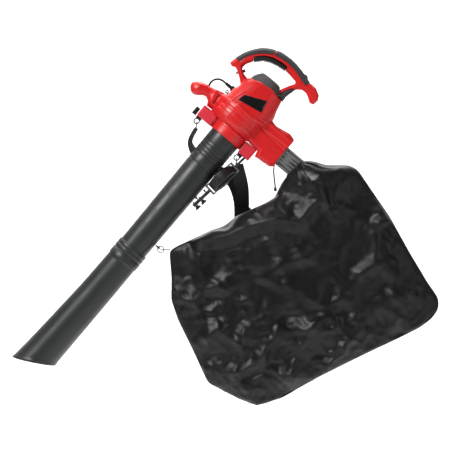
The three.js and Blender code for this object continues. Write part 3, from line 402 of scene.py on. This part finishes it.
def moulded(node, look, slot, voxel, rounds, sculpt=None):
    """A CAD node's shape as one continuous skin with softly rounded edges, sculpted if asked.

    The voxel is in millimetres, and rounds says how often the skin is smoothed.
    """
    source = frame["nodes"][node]
    piece = link("skin_" + node, source.data.copy())
    remesh = piece.modifiers.new("skin", "REMESH")
    remesh.mode = "VOXEL"
    remesh.voxel_size = voxel * MM * 1
    smooth = piece.modifiers.new("smooth", "SMOOTH")
    smooth.factor, smooth.iterations = 0.5, rounds
    settle(piece)
    if sculpt:
        put_points(piece, sculpt(points_of(piece), normals_of(piece)))
    finished(piece, source["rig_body"], look, slot, node)


def lofted(name, rings, closed_ends=True, loop=False):
    """A skin through rings of points, each an array of the same length."""
    count = len(rings[0])
    points = np.concatenate(rings)
    faces = []
    bands = len(rings) if loop else len(rings) - 1
    for i in range(bands):
        a, b = i * count, (i + 1) % len(rings) * count
        for j in range(count):
            k = (j + 1) % count
            faces.append((a + j, a + k, b + k, b + j))
    if closed_ends and not loop:
        faces.append(tuple(reversed(range(count))))
        faces.append(tuple(range(len(points) - count, len(points))))
    mesh = bpy.data.meshes.new(name)
    mesh.from_pydata(points.tolist(), [], faces)
    shape = bmesh.new()
    shape.from_mesh(mesh)
    bmesh.ops.recalc_face_normals(shape, faces=shape.faces)
    shape.to_mesh(mesh)
    shape.free()
    return link(name, mesh)


def ring_about(place, x, half_deep, half_high, z=0.0, slant=0.0, count=96):
    """An oval ring about the x axis of a frame; slant leans it along that axis."""
    angle = np.arange(count) * 2 * math.pi / count
    across, up = half_deep * np.cos(angle), half_high * np.sin(angle)
    return moved_by(place, np.stack([x + slant * up, across, z + up], 1))


def turned(name, profile, place=TOOL, z=0.0, count=96):
    """A closed profile of (x, radius) points turned about the x axis of a frame."""
    rings = [ring_about(place, x, r, r, z, count=count) for x, r in profile]
    return lofted(name, rings, loop=True)


def rounded(profile, radius=0.5, steps=3):
    """A closed profile with each corner replaced by a small arc."""
    made = []
    for i, corner in enumerate(profile):
        here, before, after = (np.array(p, float) for p in (corner, profile[i - 1],
                                                            profile[(i + 1) % len(profile)]))
        one, two = before - here, after - here
        reach = min(radius, 0.45 * np.linalg.norm(one), 0.45 * np.linalg.norm(two))
        one, two = one / np.linalg.norm(one) * reach, two / np.linalg.norm(two) * reach
        for step in range(steps + 1):
            t = step / steps
            made.append(tuple(here + one * (1 - t) ** 2 + two * t ** 2))
    return made


def through(points, steps):
    """A centripetal curve through points, with a number of steps between each two."""
    knots = [np.array(p, float) for p in points]
    knots = [2 * knots[0] - knots[1], *knots, 2 * knots[-1] - knots[-2]]
    made = []
    for a, b, c, d in zip(knots, knots[1:], knots[2:], knots[3:]):
        t1 = max(np.linalg.norm(b - a), 1e-6) ** 0.5
        t2 = t1 + max(np.linalg.norm(c - b), 1e-6) ** 0.5
        t3 = t2 + max(np.linalg.norm(d - c), 1e-6) ** 0.5
        for i in range(steps):
            t = t1 + (t2 - t1) * i / steps
            ab = a + (b - a) * t / t1
            bc = b + (c - b) * (t - t1) / (t2 - t1)
            cd = c + (d - c) * (t - t2) / (t3 - t2)
            abc = ab + (bc - ab) * t / t2
            bcd = bc + (cd - bc) * (t - t1) / (t3 - t1)
            made.append(abc + (bcd - abc) * (t - t1) / (t2 - t1))
    made.append(knots[-2])
    return np.array(made)


def swept(name, path, radius, sides=14, loop=False):
    """A round bar along a path of points in metres; the radius may change along it."""
    path = np.asarray(path, float)
    count = len(path)
    radii = np.broadcast_to(radius, (count,))
    ways = np.roll(path, -1, 0) - np.roll(path, 1, 0) if loop else np.gradient(path, axis=0)
    ways /= np.linalg.norm(ways, axis=1)[:, None]
    side = np.cross(ways[0], (0.31, 0.87, 0.38))
    rings = []
    angle = np.arange(sides) * 2 * math.pi / sides
    for middle, way, r in zip(path, ways, radii):
        side = side - way * side.dot(way)
        side /= np.linalg.norm(side)
        other = np.cross(way, side)
        rings.append(middle + r * (np.outer(np.cos(angle), side) + np.outer(np.sin(angle), other)))
    return lofted(name, rings, loop=loop)


# ---------- red housing ----------
def along(line, x, z):
    """Distance of each (x, z) from an open line of points, in millimetres."""
    nearest = np.full(len(x), 1e9)
    for (x0, z0), (x1, z1) in zip(line, line[1:]):
        dx, dz = x1 - x0, z1 - z0
        t = np.clip(((x - x0) * dx + (z - z0) * dz) / (dx * dx + dz * dz), 0, 1)
        nearest = np.minimum(nearest, np.hypot(x - x0 - t * dx, z - z0 - t * dz))
    return nearest


# Moulded lines on the housing's sides: points in x and z, width and height in millimetres.
RIB_UNDER_HORN = ([(92, 50), (133, 39)], 1.6, 2.0)
BAND_BESIDE_PLATE = ([(90, 28), (91, -28), (94, -56)], 3.6, 2.6)
RIDGE_OUTER = ([(102, -40), (108, -64), (110, -140)], 2.0, 1.4)
DUCT_STEP = ([(84, -60), (76, -152)], 1.6, -2.0)
DUCT_SHORT_LINE = ([(60, -112), (58, -150)], 1.4, -0.9)
HANDLE_LINE = ([(190, 101), (212, 97), (232, 83), (247, 66), (257, 45), (263, 22), (265, -2), (262, -28)],
               1.3, 0.9)
SIDE_LINES = [RIB_UNDER_HORN, BAND_BESIDE_PLATE, RIDGE_OUTER, DUCT_STEP, DUCT_SHORT_LINE, HANDLE_LINE]
FAN_SEAMS = [(57, 1.2), (70, 0.7)]  # x and depth of the grooves round the fan casing


def mould_lines(points, normals):
    """Raises and sinks the moulded lines on both sides of the housing."""
    local = moved_by(TO_TOOL, points)
    x, y, z = local.T
    facing = np.clip(np.abs(normals[:, 1]) * 1.6 - 0.5, 0, 1)
    outside = np.sign(normals[:, 1]) == np.sign(y)
    lift = np.zeros(len(x))
    for line, width, height in SIDE_LINES:
        near = np.clip(1.6 - along(line, x, z) / width, 0, 1)
        lift += height * near * near * (3 - 2 * near) * facing * outside
    reach = np.hypot(y, z - 8)
    for place, depth in FAN_SEAMS:
        near = np.clip(1.5 - np.abs(x - place) / 1.3, 0, 1)
        lift -= depth * near * ((reach > 72) & (reach < 80))
    return points + normals * lift[:, None] * MM


def housing():
    for node in ("housing_shell_near", "housing_shell_far"):
        moulded(node, "red", "housing_plastic", voxel=1.25, rounds=4, sculpt=mould_lines)
    socket = [(0, 46.4), (0, 50.5), (1.5, 52), (24, 52), (25.5, 54), (30, 54), (30, 42), (20.3, 42),
              (20.3, 46.4)]
    finished(turned("skin_tube_socket", rounded(socket, 0.8)), "housing", "red", "housing_plastic",
             "tube_socket")
    for node in ("upper_lug", "lower_lug"):
        moulded(node, "lug", "lug_plastic", voxel=0.9, rounds=2)
    moulded("name_plate", "plate", "black_plastic", voxel=0.5, rounds=2)
    for node in ("grip_front", "grip_rear", "rear_boot"):
        moulded(node, "grip", "grip_rubber", voxel=0.7, rounds=3)
    moulded("mode_lever", "red", "housing_plastic", voxel=0.45, rounds=3)
    moulded("trigger", "black", "black_plastic", voxel=0.6, rounds=4)
    for node in ("lock_button", "speed_dial", "cord_retainer", "strap_knob"):
        moulded(node, "black", "black_plastic", voxel=0.45, rounds=2)
    vent_cap()


def bar_end_room():
    """The block in which the end of the handle's lower bar lies over the cap."""
    outline = [(188.6, -34.8), (190, -34.7), (203, -31.7), (216, -37.6), (216, -58.4), (199, -54.4),
               (188.6, -55.6)]
    sides = [moved_by(TOOL, np.array([(x, y, z) for x, z in outline])) for y in (-17.9, 17.9)]
    return lofted("bar_end_room", sides)


def vent_cap():
    """A cone of louvre rings with a flat end, over the motor's end."""
    dome = [(161, 49), (180, 49), (188, 47), (196, 42.5), (204, 36.5), (207.5, 32.5), (208.6, 30.5)]
    xs, rs = np.array(dome).T
    pitch, slot, deep = 5.0, 2.5, 6.0
    profile = [(161, 49)]
    x = 176.5
    while x < 205:
        for place, drop in ((x, 0), (x + 0.2, deep), (x + slot, deep), (x + slot + 0.2, 0)):
            profile.append((place, float(np.interp(place, xs, rs)) - drop))
        x += pitch
    profile += [(208.6, 30.5), (209.4, 28), (209.5, 0.2), (205, 0.2), (203, 24), (196, 35), (184, 41),
                (161, 44)]
    piece = turned("louvred_cap", rounded(profile, 0.3, 2), z=4)
    room = bar_end_room()
    notch = piece.modifiers.new("notch", "BOOLEAN")
    notch.operation, notch.solver, notch.object = "DIFFERENCE", "EXACT", room
    settle(piece)
    bpy.data.objects.remove(room)
    liner = [(165, 44.5), (180, 45.6), (188, 43.6), (196, 39), (203, 33.5), (204, 24), (165, 24)]
    finished(turned("cap_liner", rounded(liner, 0.3, 2), z=4), "housing", "black", "black_plastic")
    finished(piece, "housing", "vent", "vent_plastic", "vent_cap")


# ---------- tubes ----------
TUBE_TOP_R, TUBE_JOINT_R, TUBE_WALL = 46, 42.6, 2.5
JOINT_X, SLEEVE_START, SLEEVE_R = -440, -398, 46.2


def tube_radius(x):
    return TUBE_TOP_R + (TUBE_TOP_R - TUBE_JOINT_R) * x / 400


def upper_tube():
    ribs = [-31 - 11 * i for i in range(5)] + [-101]
    profile = [(20, 45.6), (0, tube_radius(0))]
    for x in ribs:
        profile += [(x, tube_radius(x)), (x - 0.8, tube_radius(x) - 1.1), (x - 2.2, tube_radius(x) - 1.1),
                    (x - 3, tube_radius(x))]
    profile += [(SLEEVE_START, TUBE_JOINT_R), (JOINT_X, TUBE_JOINT_R),
                (JOINT_X, TUBE_JOINT_R - TUBE_WALL), (20, 45.6 - TUBE_WALL)]
    piece = turned("ribbed_upper_tube", rounded(profile, 0.4, 2), count=128)
    finished(piece, "housing", "tube", "tube_plastic", "upper_tube")


def lower_tube():
    """The sleeve over the joint, then a tube that widens into the slanted nozzle."""
    slant, tip_x, tip_z, deep, high = -0.53, -821.5, 10, 57, 53.5
    wall, slant_start, slant_run = 2.5, -450, 371

    def ring(x, z, half_deep, half_high):
        share = min(max((slant_start - x) / slant_run, 0), 1)
        return ring_about(TOOL, x, half_deep, half_high, z, slant=slant * share, count=128)

    def tip(grow, x):
        return ring_about(TOOL, tip_x + x, deep + grow, high + grow, tip_z, slant=slant, count=128)

    r = SLEEVE_R
    outer = [(SLEEVE_START, r - 1.2), (-398.8, r - 0.4), (-405, r - 0.2), (-406, r), (-408.5, r),
             (-409.3, r - 1), (-412, r - 1), (-412.8, r), (-422, r), (-422.8, r - 1), (-425.2, r - 1),
             (-426, r), (-446, r), (-447, r - 0.3), (-449, r - 1.6), (-450, r - 2)]
    rings = [ring(x, 0, radius, radius) for x, radius in outer]
    shape = [(-450, 0, 44.2, 44.2), (-560, 1, 45, 45.5), (-690, 5, 50, 49), (-770, 8, 54, 51.5),
             (-811.5, 10, 57, 53.5)]
    xs, zs, deeps, highs = np.array(shape).T[:, ::-1]
    for x in np.linspace(-456, -808, 30):
        rings.append(ring(x, np.interp(x, xs, zs), np.interp(x, xs, deeps), np.interp(x, xs, highs)))
    rings += [tip(grow, x) for grow, x in ((0, 10), (0.9, 8.2), (1.2, 7), (1.2, 0.8), (0.8, 0), (-1.8, 0),
                                           (-2.2, 0.8))]
    for x in np.linspace(-800, -560, 16):
        rings.append(ring(x, np.interp(x, xs, zs), np.interp(x, xs, deeps) - wall,
                          np.interp(x, xs, highs) - wall))
    inner = TUBE_JOINT_R + 0.3
    rings += [ring(x, 0, radius, radius) for x, radius in ((-443, inner - 1.3), (-441, inner),
                                                           (SLEEVE_START, inner))]
    finished(lofted("slanted_lower_tube", rings, loop=True), "housing", "tube", "tube_plastic",
             "lower_tube")


# ---------- fittings, wheel and strap ----------
def small_fittings():
    for node in ("strap_eye_upper", "strap_eye_lower", "bag_hook"):
        moulded(node, "dark_steel", "steel", voxel=0.4, rounds=3)
    for node in ("arm_pivot_bolt", "wheel_axle"):
        moulded(node, "steel", "steel", voxel=0.4, rounds=3)
    for node in ("snap_hook_upper", "snap_hook_lower", "strap_slider", "bag_hanger_lug", "tether_toggle",
                 "arm_knob_1", "arm_knob_2", "arm_post_1", "arm_post_2"):
        moulded(node, "black", "black_plastic", voxel=0.4, rounds=3)
    moulded("wheel_arm", "dark_steel", "steel", voxel=0.55, rounds=2)
    moulded("strain_relief", "lead", "lead_rubber", voxel=0.45, rounds=3)
    moulded("power_plug", "lead", "lead_rubber", voxel=0.55, rounds=4)


def outlet_adapter():
    """A square tube with rounded corners, fluted all round below its rim, over a black liner."""
    x, half_wide, half_deep, top, bottom, wall, liner = 64, 29, 32, -140, -246, 7.0, 2.2
    square, count, pitch, groove_half, flute = 0.4, 360, 11, 1.1, 4.2

    def ring(z, grow, flutes):
        angle = np.arange(count) * 2 * math.pi / count
        c, s = np.cos(angle), np.sin(angle)
        across = (half_wide + grow) * np.sign(c) * np.abs(c) ** square
        deep = (half_deep + grow) * np.sign(s) * np.abs(s) ** square
        flat = np.where(np.abs(across) / half_wide > np.abs(deep) / half_deep, deep, across)
        off = np.abs((flat + pitch / 2) % pitch - pitch / 2)
        groove = np.clip(2.2 - off / groove_half, 0, 1) * flutes
        shrink = 1 - groove / 30
        return moved_by(TOOL, np.stack([x + across * shrink, deep * shrink, np.full(count, float(z))], 1))

    rings = [ring(top, -0.4, 0), ring(top - 0.4, 0, 0), ring(-157, 0, 0), ring(-158, 0, flute)]
    rings += [ring(z, 0, flute) for z in np.linspace(-170, bottom + 4, 12)]
    rings += [ring(z, grow, 0) for z, grow in ((bottom + 2, 0), (bottom + 0.4, 0), (bottom, -0.4),
                                               (bottom, -wall), (top, -wall))]
    finished(lofted("fluted_adapter", rings, loop=True), "housing", "adapter", "adapter_plastic",
             "outlet_adapter")
    core = [ring(z, grow, 0) for z, grow in ((-150, -liner), (bottom + 3, -liner), (bottom + 3, 1 - wall),
                                             (-150, 1 - wall))]
    finished(lofted("adapter_liner", core, loop=True), "housing", "black", "black_plastic")


def support_wheel():
    """A moulded wheel with a grooved tread, a recessed disc and ribs."""
    x, r, half, tilt, ribs = -102, 41, 13, math.radians(-11), 18
    lying = Matrix.Rotation(-math.pi / 2, 4, "Y")
    place = ARM_FRAME @ Matrix.Rotation(tilt, 4, "X") @ Matrix.Translation((x, 0, 0)) @ lying
    face = [(-half, 3.6), (-half, 13.5), (-half + 3, 15), (-half + 3, r - 8.5), (-half, r - 7.5),
            (-half, r - 2.5), (-half + 1.2, r - 0.6)]
    tread = [(-6.2, r), (-6.0, r - 0.9), (-4.8, r - 0.9), (-4.6, r), (4.6, r), (4.8, r - 0.9),
             (6.0, r - 0.9), (6.2, r)]
    profile = face + tread + [(-px, pr) for px, pr in reversed(face)]
    wheel = turned("moulded_wheel", rounded(profile, 0.7), place, count=112)
    finished(wheel, "support_wheel", "black", "wheel_plastic", "support_wheel")
    for i in range(ribs):
        turn = place @ Matrix.Rotation(2 * math.pi * i / ribs, 4, "X")
        rings = []
        for reach in np.linspace(13.6, r - 8, 8):
            thick = 0.9 + 0.25 * abs(reach - 24) / 10
            wide, narrow = half - 0.6, half - 1.2
            section = [(-wide, -thick), (-narrow, -thick - 0.4), (narrow, -thick - 0.4), (wide, -thick),
                       (wide, thick), (narrow, thick + 0.4), (-narrow, thick + 0.4), (-wide, thick)]
            rings.append(moved_by(turn, np.array([(a, b, reach) for a, b in section])))
        finished(lofted(f"wheel_rib_{i + 1}", rings), "support_wheel", "black", "wheel_plastic")


STRAP_WIDE, STRAP_THICK = 0.038, 0.0019


def shoulder_strap(start, end):
    """Webbing from the upper hook behind the tube, round its low loop and back up to the lower hook."""
    middle = [start, (-0.263, 0.019, -0.212), (-0.265, 0.028, -0.230), (-0.256, 0.042, -0.250),
              (-0.234, 0.060, -0.274), (-0.188, 0.069, -0.305), (-0.147, 0.074, -0.330),
              (-0.126, 0.084, -0.380), (-0.122, 0.095, -0.440), (-0.121, 0.103, -0.560),
              (-0.120, 0.104, -0.690), (-0.119, 0.095, -0.704), (-0.118, 0.087, -0.690),
              (-0.118, 0.086, -0.560), (-0.118, 0.083, -0.450), (-0.118, 0.073, -0.404),
              (-0.120, 0.058, -0.350), end]
    facing = [(0.3, 1, 0), (0.3, 1, 0), (0.3, 1, 0.1), (0.4, 0.8, 0.4), (0.45, 0.5, 0.7), (0.5, 0.2, 0.8),
              (0.7, 0, 0.6), (1, 0, 0.2)] + [(1, 0, 0)] * 9 + [(1, 0.1, 0)]  # which way its width lies
    path = through(middle, 14)
    share = np.linspace(0, len(facing) - 1, len(path))
    across = np.stack([np.interp(share, range(len(facing)), [f[k] for f in facing]) for k in range(3)], 1)
    ways = np.gradient(path, axis=0)
    ways /= np.linalg.norm(ways, axis=1)[:, None]
    lengths = np.concatenate([[0], np.cumsum(np.linalg.norm(np.diff(path, axis=0), axis=1))])
    half = STRAP_WIDE / 2
    edge = [(-half, 0.25), (-half + 0.0004, 0.8), (-half + 0.0012, 1)]
    upper = edge + [(x, 1) for x in np.linspace(-half + 0.004, half - 0.004, 9)]
    upper += [(-x, f) for x, f in reversed(edge)]
    section = upper + [(x, -f) for x, f in reversed(upper)]
    rings, cuts = [], []
    for middle_point, way, side, length in zip(path, ways, across, lengths):
        side = side - way * side.dot(way)
        side /= np.linalg.norm(side)
        face = np.cross(way, side)
        rings.append(np.array([middle_point + side * x + face * f * STRAP_THICK / 2 for x, f in section]))
        cuts += [(x, length, 0) for x, _ in section]
    strap = lofted("strap_webbing", rings)
    layer = strap.data.attributes.new("cut", "FLOAT_VECTOR", "POINT")
    layer.data.foreach_set("vector", np.array(cuts, float).ravel())
    finished(strap, "housing", "webbing", "webbing", "shoulder_strap")


def lowest_point(node):
    low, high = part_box(node)
    return Vector(((low.x + high.x) / 2, (low.y + high.y) / 2, low.z))


# ---------- mains lead, and the cords on the bag ----------
LEAD_R = 0.003
LEAD_BEND = 0.0255
LEAD_UPRIGHT = 108  # millimetres below the bend, from where it hangs straight into the plug


def lead_points():
    """Out of the strain relief, over in one bend, then down behind the horn, the lug and the tube."""
    way = (TOOL.to_3x3() @ Vector((0, 0, 1))).normalized()
    start = TOOL @ Vector((120, 0, 96.3))
    bend = start + way * 0.009
    centre = bend + Vector((-way.z, 0, way.x)) * LEAD_BEND
    first = math.atan2(bend.z - centre.z, bend.x - centre.x)
    points = [start, start + way * 0.0045]
    for share in (0, 0.2, 0.4, 0.6, 0.8, 1):
        angle = first + share * (math.pi - first)
        points.append(centre + Vector((LEAD_BEND * math.cos(angle), 0.025 * share ** 2.2,
                                       LEAD_BEND * math.sin(angle))))
    last = points[-1]
    for drop, y in ((18, 38), (38, 49), (60, 57), (84, 62), (LEAD_UPRIGHT, 65), (132, 66)):
        points.append(Vector((last.x + min(drop, LEAD_UPRIGHT) * 0.2 * MM, y * MM, last.z - drop * MM)))
    return points


def cord_curve(name, path, radius):
    data = bpy.data.curves.new(name, "CURVE")
    data.dimensions = "3D"
    data.bevel_depth, data.bevel_resolution = radius, 4
    data.use_fill_caps = True
    spline = data.splines.new("POLY")
    spline.points.add(len(path) - 1)
    for point, place in zip(spline.points, path):
        point.co = (*place, 1)
    return link(name, data)


def dressed_cord(piece, look, slot, *nodes):
    piece.data.materials.append(LOOKS[look])
    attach(piece, "housing")
    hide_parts(*nodes)


def power_lead():
    path = through(lead_points(), 6)
    lead = cord_curve("mains_lead", path, LEAD_R)
    dressed_cord(lead, "lead", "lead_rubber", "power_lead")


def bag_cords():
    """The drawstring that hangs from the outlet with its toggle, and the bag's elastic loop on the hook."""
    hang = through([(-0.031, 0, -0.295), (-0.031, 0, -0.312), (-0.029, -0.001, -0.332),
                    (-0.027, 0, -0.351)], 8)
    string = swept("bag_drawstring", hang, 0.0021)
    finished(string, "housing", "black", "webbing", "bag_tether")
    hook = TOOL @ Vector((-354, 0, -62))
    middle = hook + Vector((0.013, 0.002, -0.001))
    loop = [middle + Vector((0.0135 * math.cos(a), 0.006 * math.sin(a), 0))
            for a in np.arange(40) * 2 * math.pi / 40]
    finished(swept("bag_elastic_loop", loop, 0.0014, loop=True), "housing", "black", "webbing",
             "bag_elastic")


# ---------- bag ----------
BAG_LEFT = [(6, -319), (-8, -336), (-28, -378), (-56, -395), (-130, -428), (-182, -459), (-306, -517),
            (-324, -530), (-318, -606), (-319, -666), (-300, -722), (-252, -820), (-216, -899),
            (-126, -946), (-78, -963)]
BAG_RIGHT = [(50, -277), (84, -277), (112, -288), (182, -288), (206, -302), (238, -350), (294, -431),
             (350, -532), (400, -616), (432, -662), (432, -692), (412, -720), (378, -745), (322, -773),
             (210, -826), (98, -882), (-14, -944), (-78, -963)]
BAG_Y, BAG_HALF, CLOTH_THICK = 0.010, 0.045, 0.0009
FOLD_NEAR, FOLD_FAR = 1.9, 0.8  # how strongly the folds show on each side
CRUMPLE_TOP, CRUMPLE_LOW = 11, 23  # height of the creases at the top and low on the bag, in millimetres
GATHER_HIGH = 3  # the gathers at the mouth, in millimetres


def spaced(line, count):
    """Points in metres at even distances along a line given in millimetres."""
    points = np.array(line, float) * MM
    steps = np.linalg.norm(np.diff(points, axis=0), axis=1)
    length = np.concatenate([[0], np.cumsum(steps)])
    where = np.linspace(0, length[-1], count)
    return np.stack([np.interp(where, length, points[:, k]) for k in range(2)], 1)


# Folds of the cloth on the near side, as lines in x and z with the fold's height and the widths of its
# slopes on either side, all in millimetres.
FOLDS = [
    ([(-234, -498), (-156, -484), (-112, -463), (-29, -439), (33, -448), (64, -414), (90, -391),
      (85, -360), (64, -321)], 15, 70, 34),
    ([(-234, -498), (-239, -565), (-226, -632), (-169, -632)], 7, 40, 30),
    ([(-29, -439), (-30, -470), (-24, -520)], 5, 26, 26),
    ([(-114, -748), (-122, -818), (-143, -870), (-81, -844), (-18, -751)], 8, 34, 26),
    ([(-216, -770), (-190, -745), (-170, -760), (-130, -790)], 6, 30, 24),
    ([(85, -730), (44, -792), (13, -875)], 8, 44, 34),
    ([(137, -730), (173, -777), (147, -813), (120, -850)], 6, 30, 26),
    ([(271, -409), (261, -466), (256, -528)], 8, 40, 44),
    ([(262, -452), (300, -440), (330, -470)], 6, 26, 26),
    ([(214, -590), (250, -566), (282, -565), (300, -600)], 7, 34, 30),
    ([(-60, -600), (0, -560), (60, -548)], 5, 40, 30),
    ([(300, -640), (320, -690), (306, -740)], 5, 30, 28),
    ([(60, -321), (100, -350), (130, -420)], 6, 24, 28),
]


def fold_lift(x, z):
    """How far the folds stand out of the near side."""
    lift = np.zeros(len(x))
    for line, height, left, right in FOLDS:
        best = np.full(len(x), 1e9)
        side = np.zeros(len(x))
        for (x0, z0), (x1, z1) in zip(line, line[1:]):
            dx, dz = x1 - x0, z1 - z0
            t = np.clip(((x - x0) * dx + (z - z0) * dz) / (dx * dx + dz * dz), 0, 1)
            reach = np.hypot(x - x0 - t * dx, z - z0 - t * dz)
            closer = reach < best
            side = np.where(closer, dx * (z - z0) - dz * (x - x0), side)
            best = np.minimum(best, reach)
        width = np.where(side > 0, left, right)
        slope = np.clip(1 - best / width, 0, 1)
        lift += height * slope ** 1.2
    return lift


CREASES = ((0.0075, 0.5), (0.017, 0.32), (0.036, 0.18))  # noise cells per millimetre, and their shares


def crumple(x, z, seed):
    """Crisp creases of three sizes: a sum of ridged noises, from about -0.7 to 0.5."""
    made = np.zeros(len(x))
    for i, (a, b) in enumerate(zip(x, z)):
        for scale, share in CREASES:
            place = Vector((a * scale + seed, b * scale - seed, seed * 0.7 + scale * 90))
            made[i] += share * (0.5 - 2.2 * abs(noise.noise(place)))
    return made


def bag_shape(rings=84, across=70):
    """Rings from the mouth round the adapter to the bottom corner, each a flat oval between the seams."""
    left, right = spaced(BAG_LEFT, rings), spaced(BAG_RIGHT, rings)
    share = (1 - np.cos(np.linspace(0, math.pi, across))) / 2
    made = []
    for i in range(rings):
        t = i / (rings - 1)
        open_end = math.exp(-t * 22)
        taper = min(1, (1 - t) * 3.2) ** 0.6
        deep = (0.035 * open_end + BAG_HALF * (1 - open_end)) * max(taper, 0.04)
        power = 0.22 * open_end + 0.55 * (1 - open_end)
        bulge = deep * np.maximum(4 * share * (1 - share), 0) ** power
        line = left[i] + np.outer(share, right[i] - left[i])
        centre = BAG_Y * (1 - open_end)
        front = np.stack([line[:, 0], centre - bulge, line[:, 1]], 1)
        back = np.stack([line[:, 0], centre + bulge, line[:, 1]], 1)[-2:0:-1]
        made.append(np.concatenate([front, back]))
    return made


def blown(piece, pinned, frames=22, limit=0.014):
    """Lets the cloth settle a little under soft pressure, larger than its outline, so that it buckles."""
    start = points_of(piece)
    group = piece.vertex_groups.new(name="pinned")
    group.add(pinned, 1.0, "REPLACE")
    cloth = piece.modifiers.new("cloth", "CLOTH")
    facts = cloth.settings
    facts.quality, facts.mass, facts.air_damping = 5, 0.2, 3
    facts.tension_stiffness = facts.compression_stiffness = 18
    facts.shear_stiffness, facts.bending_stiffness = 6, 0.6
    facts.shrink_min = -0.035
    facts.use_pressure, facts.uniform_pressure_force = True, 1.2
    facts.effector_weights.gravity = 0
    facts.vertex_group_mass = "pinned"
    cloth.collision_settings.use_self_collision = False
    for step in range(1, frames + 1):
        bpy.context.scene.frame_set(step)
    settle(piece)
    bpy.context.scene.frame_set(1)
    move = points_of(piece) - start
    size = np.linalg.norm(move, axis=1)[:, None]
    put_points(piece, start + move * limit / np.maximum(limit + 0.4 * size, size + 1e-9))


# Where the outer thumb knob comes at the end of the arm's swing, in millimetres, and how far around it and
# how deep the cloth is pressed in.
KNOB_END = (-170, -12, -453)
KNOB_ROOM, KNOB_DENT = 46, 13


def make_room(points):
    """Presses the cloth in where the knob comes."""
    near = np.clip(1 - np.linalg.norm(points - np.array(KNOB_END) * MM, axis=1) / (KNOB_ROOM * MM), 0, 1)
    return points + np.outer(near * near * (3 - 2 * near) * KNOB_DENT * MM, (0.5, 0, -0.86))


def put_layer(piece, name, values):
    layer = piece.data.attributes.new(name, "FLOAT", "POINT")
    layer.data.foreach_set("value", np.asarray(values, float))


def layer_of(piece, name):
    values = np.empty(len(piece.data.vertices))
    piece.data.attributes[name].data.foreach_get("value", values)
    return values


def bag():
    """The sack: blown out by the cloth pass, then folded, crumpled and given its thickness."""
    rings = bag_shape()
    count = len(rings[0])
    piece = lofted("collection_bag", rings, closed_ends=False)
    seam = [i * count + j for i in range(len(rings)) for j in (0, (count + 2) // 2 - 1)]
    blown(piece, sorted(set(list(range(2 * count)) + seam)))
    row = np.repeat(np.arange(len(rings)), count) / (len(rings) - 1)
    column = np.tile(np.arange(count), len(rings))
    half = count // 2
    from_seam = np.sin(np.pi * (column % half) / half)
    put_layer(piece, "loose", np.clip(from_seam * 3.2, 0, 1) * np.clip((row - 0.02) * 12, 0, 1)
              * np.clip((1 - row) * 14, 0, 1))
    put_layer(piece, "gather", np.exp(-row * 26) * (row > 0.012) * np.sin(column * 2 * math.pi / 9))
    finer = piece.modifiers.new("finer", "SUBSURF")
    finer.levels = finer.render_levels = 1
    settle(piece)
    points = points_of(piece)
    x, y, z = (points / MM).T
    out = np.where(y < BAG_Y / MM, -1, 1)
    rough = CRUMPLE_TOP + (CRUMPLE_LOW - CRUMPLE_TOP) * np.clip((-z - 560) / 160, 0, 1)
    push = np.where(out < 0, FOLD_NEAR * fold_lift(x, z) + rough * crumple(x, z, 4.0),
                    rough * crumple(x, z, 9.0) + FOLD_FAR * fold_lift(130 - x, z))
    points[:, 1] += out * (push * layer_of(piece, "loose") + GATHER_HIGH * layer_of(piece, "gather")) * MM
    put_points(piece, make_room(points))
    skin = piece.modifiers.new("cloth_thickness", "SOLIDIFY")
    skin.thickness, skin.offset = CLOTH_THICK, -1
    settle(piece)
    finished(piece, "housing", "nylon", "bag_nylon", "bag")
    bag_hem(rings[0])


def bag_hem(ring):
    """The elastic hem that grips the adapter at the bag's mouth; points too close together are dropped."""
    keep = np.linalg.norm(np.roll(ring, -1, 0) - ring, axis=1) > 0.0006
    finished(swept("bag_hem", ring[keep], 0.0026, loop=True), "housing", "nylon", "bag_nylon")


# ---------- pieces inside, and the screws ----------
def carried_over():
    """CAD pieces whose own shape is shown get a small bevel and a material."""
    looks = {
        "steel": ["impeller_nut", "rotor_shaft", "motor_stator", "front_bearing", "rear_bearing",
                  "housing_screw_1", "housing_screw_2", "housing_screw_3", "housing_screw_4"],
        "copper": ["armature", "commutator"],
        "black": ["impeller", "cooling_fan", "brush_holder_upper", "brush_holder_lower", "switch_module"],
    }
    for look, nodes in looks.items():
        for node in nodes:
            piece = frame["nodes"][node]
            piece.data.materials.clear()
            piece.data.materials.append(LOOKS[look])
            edge = piece.modifiers.new("edges", "BEVEL")
            edge.width, edge.segments, edge.limit_method = 0.0002, 2, "ANGLE"


LOOKS = materials()
camera()
studio()
housing()
upper_tube()
lower_tube()
small_fittings()
outlet_adapter()
support_wheel()
shoulder_strap(lowest_point("snap_hook_upper"), lowest_point("snap_hook_lower"))
power_lead()
bag_cords()
bag()
carried_over()
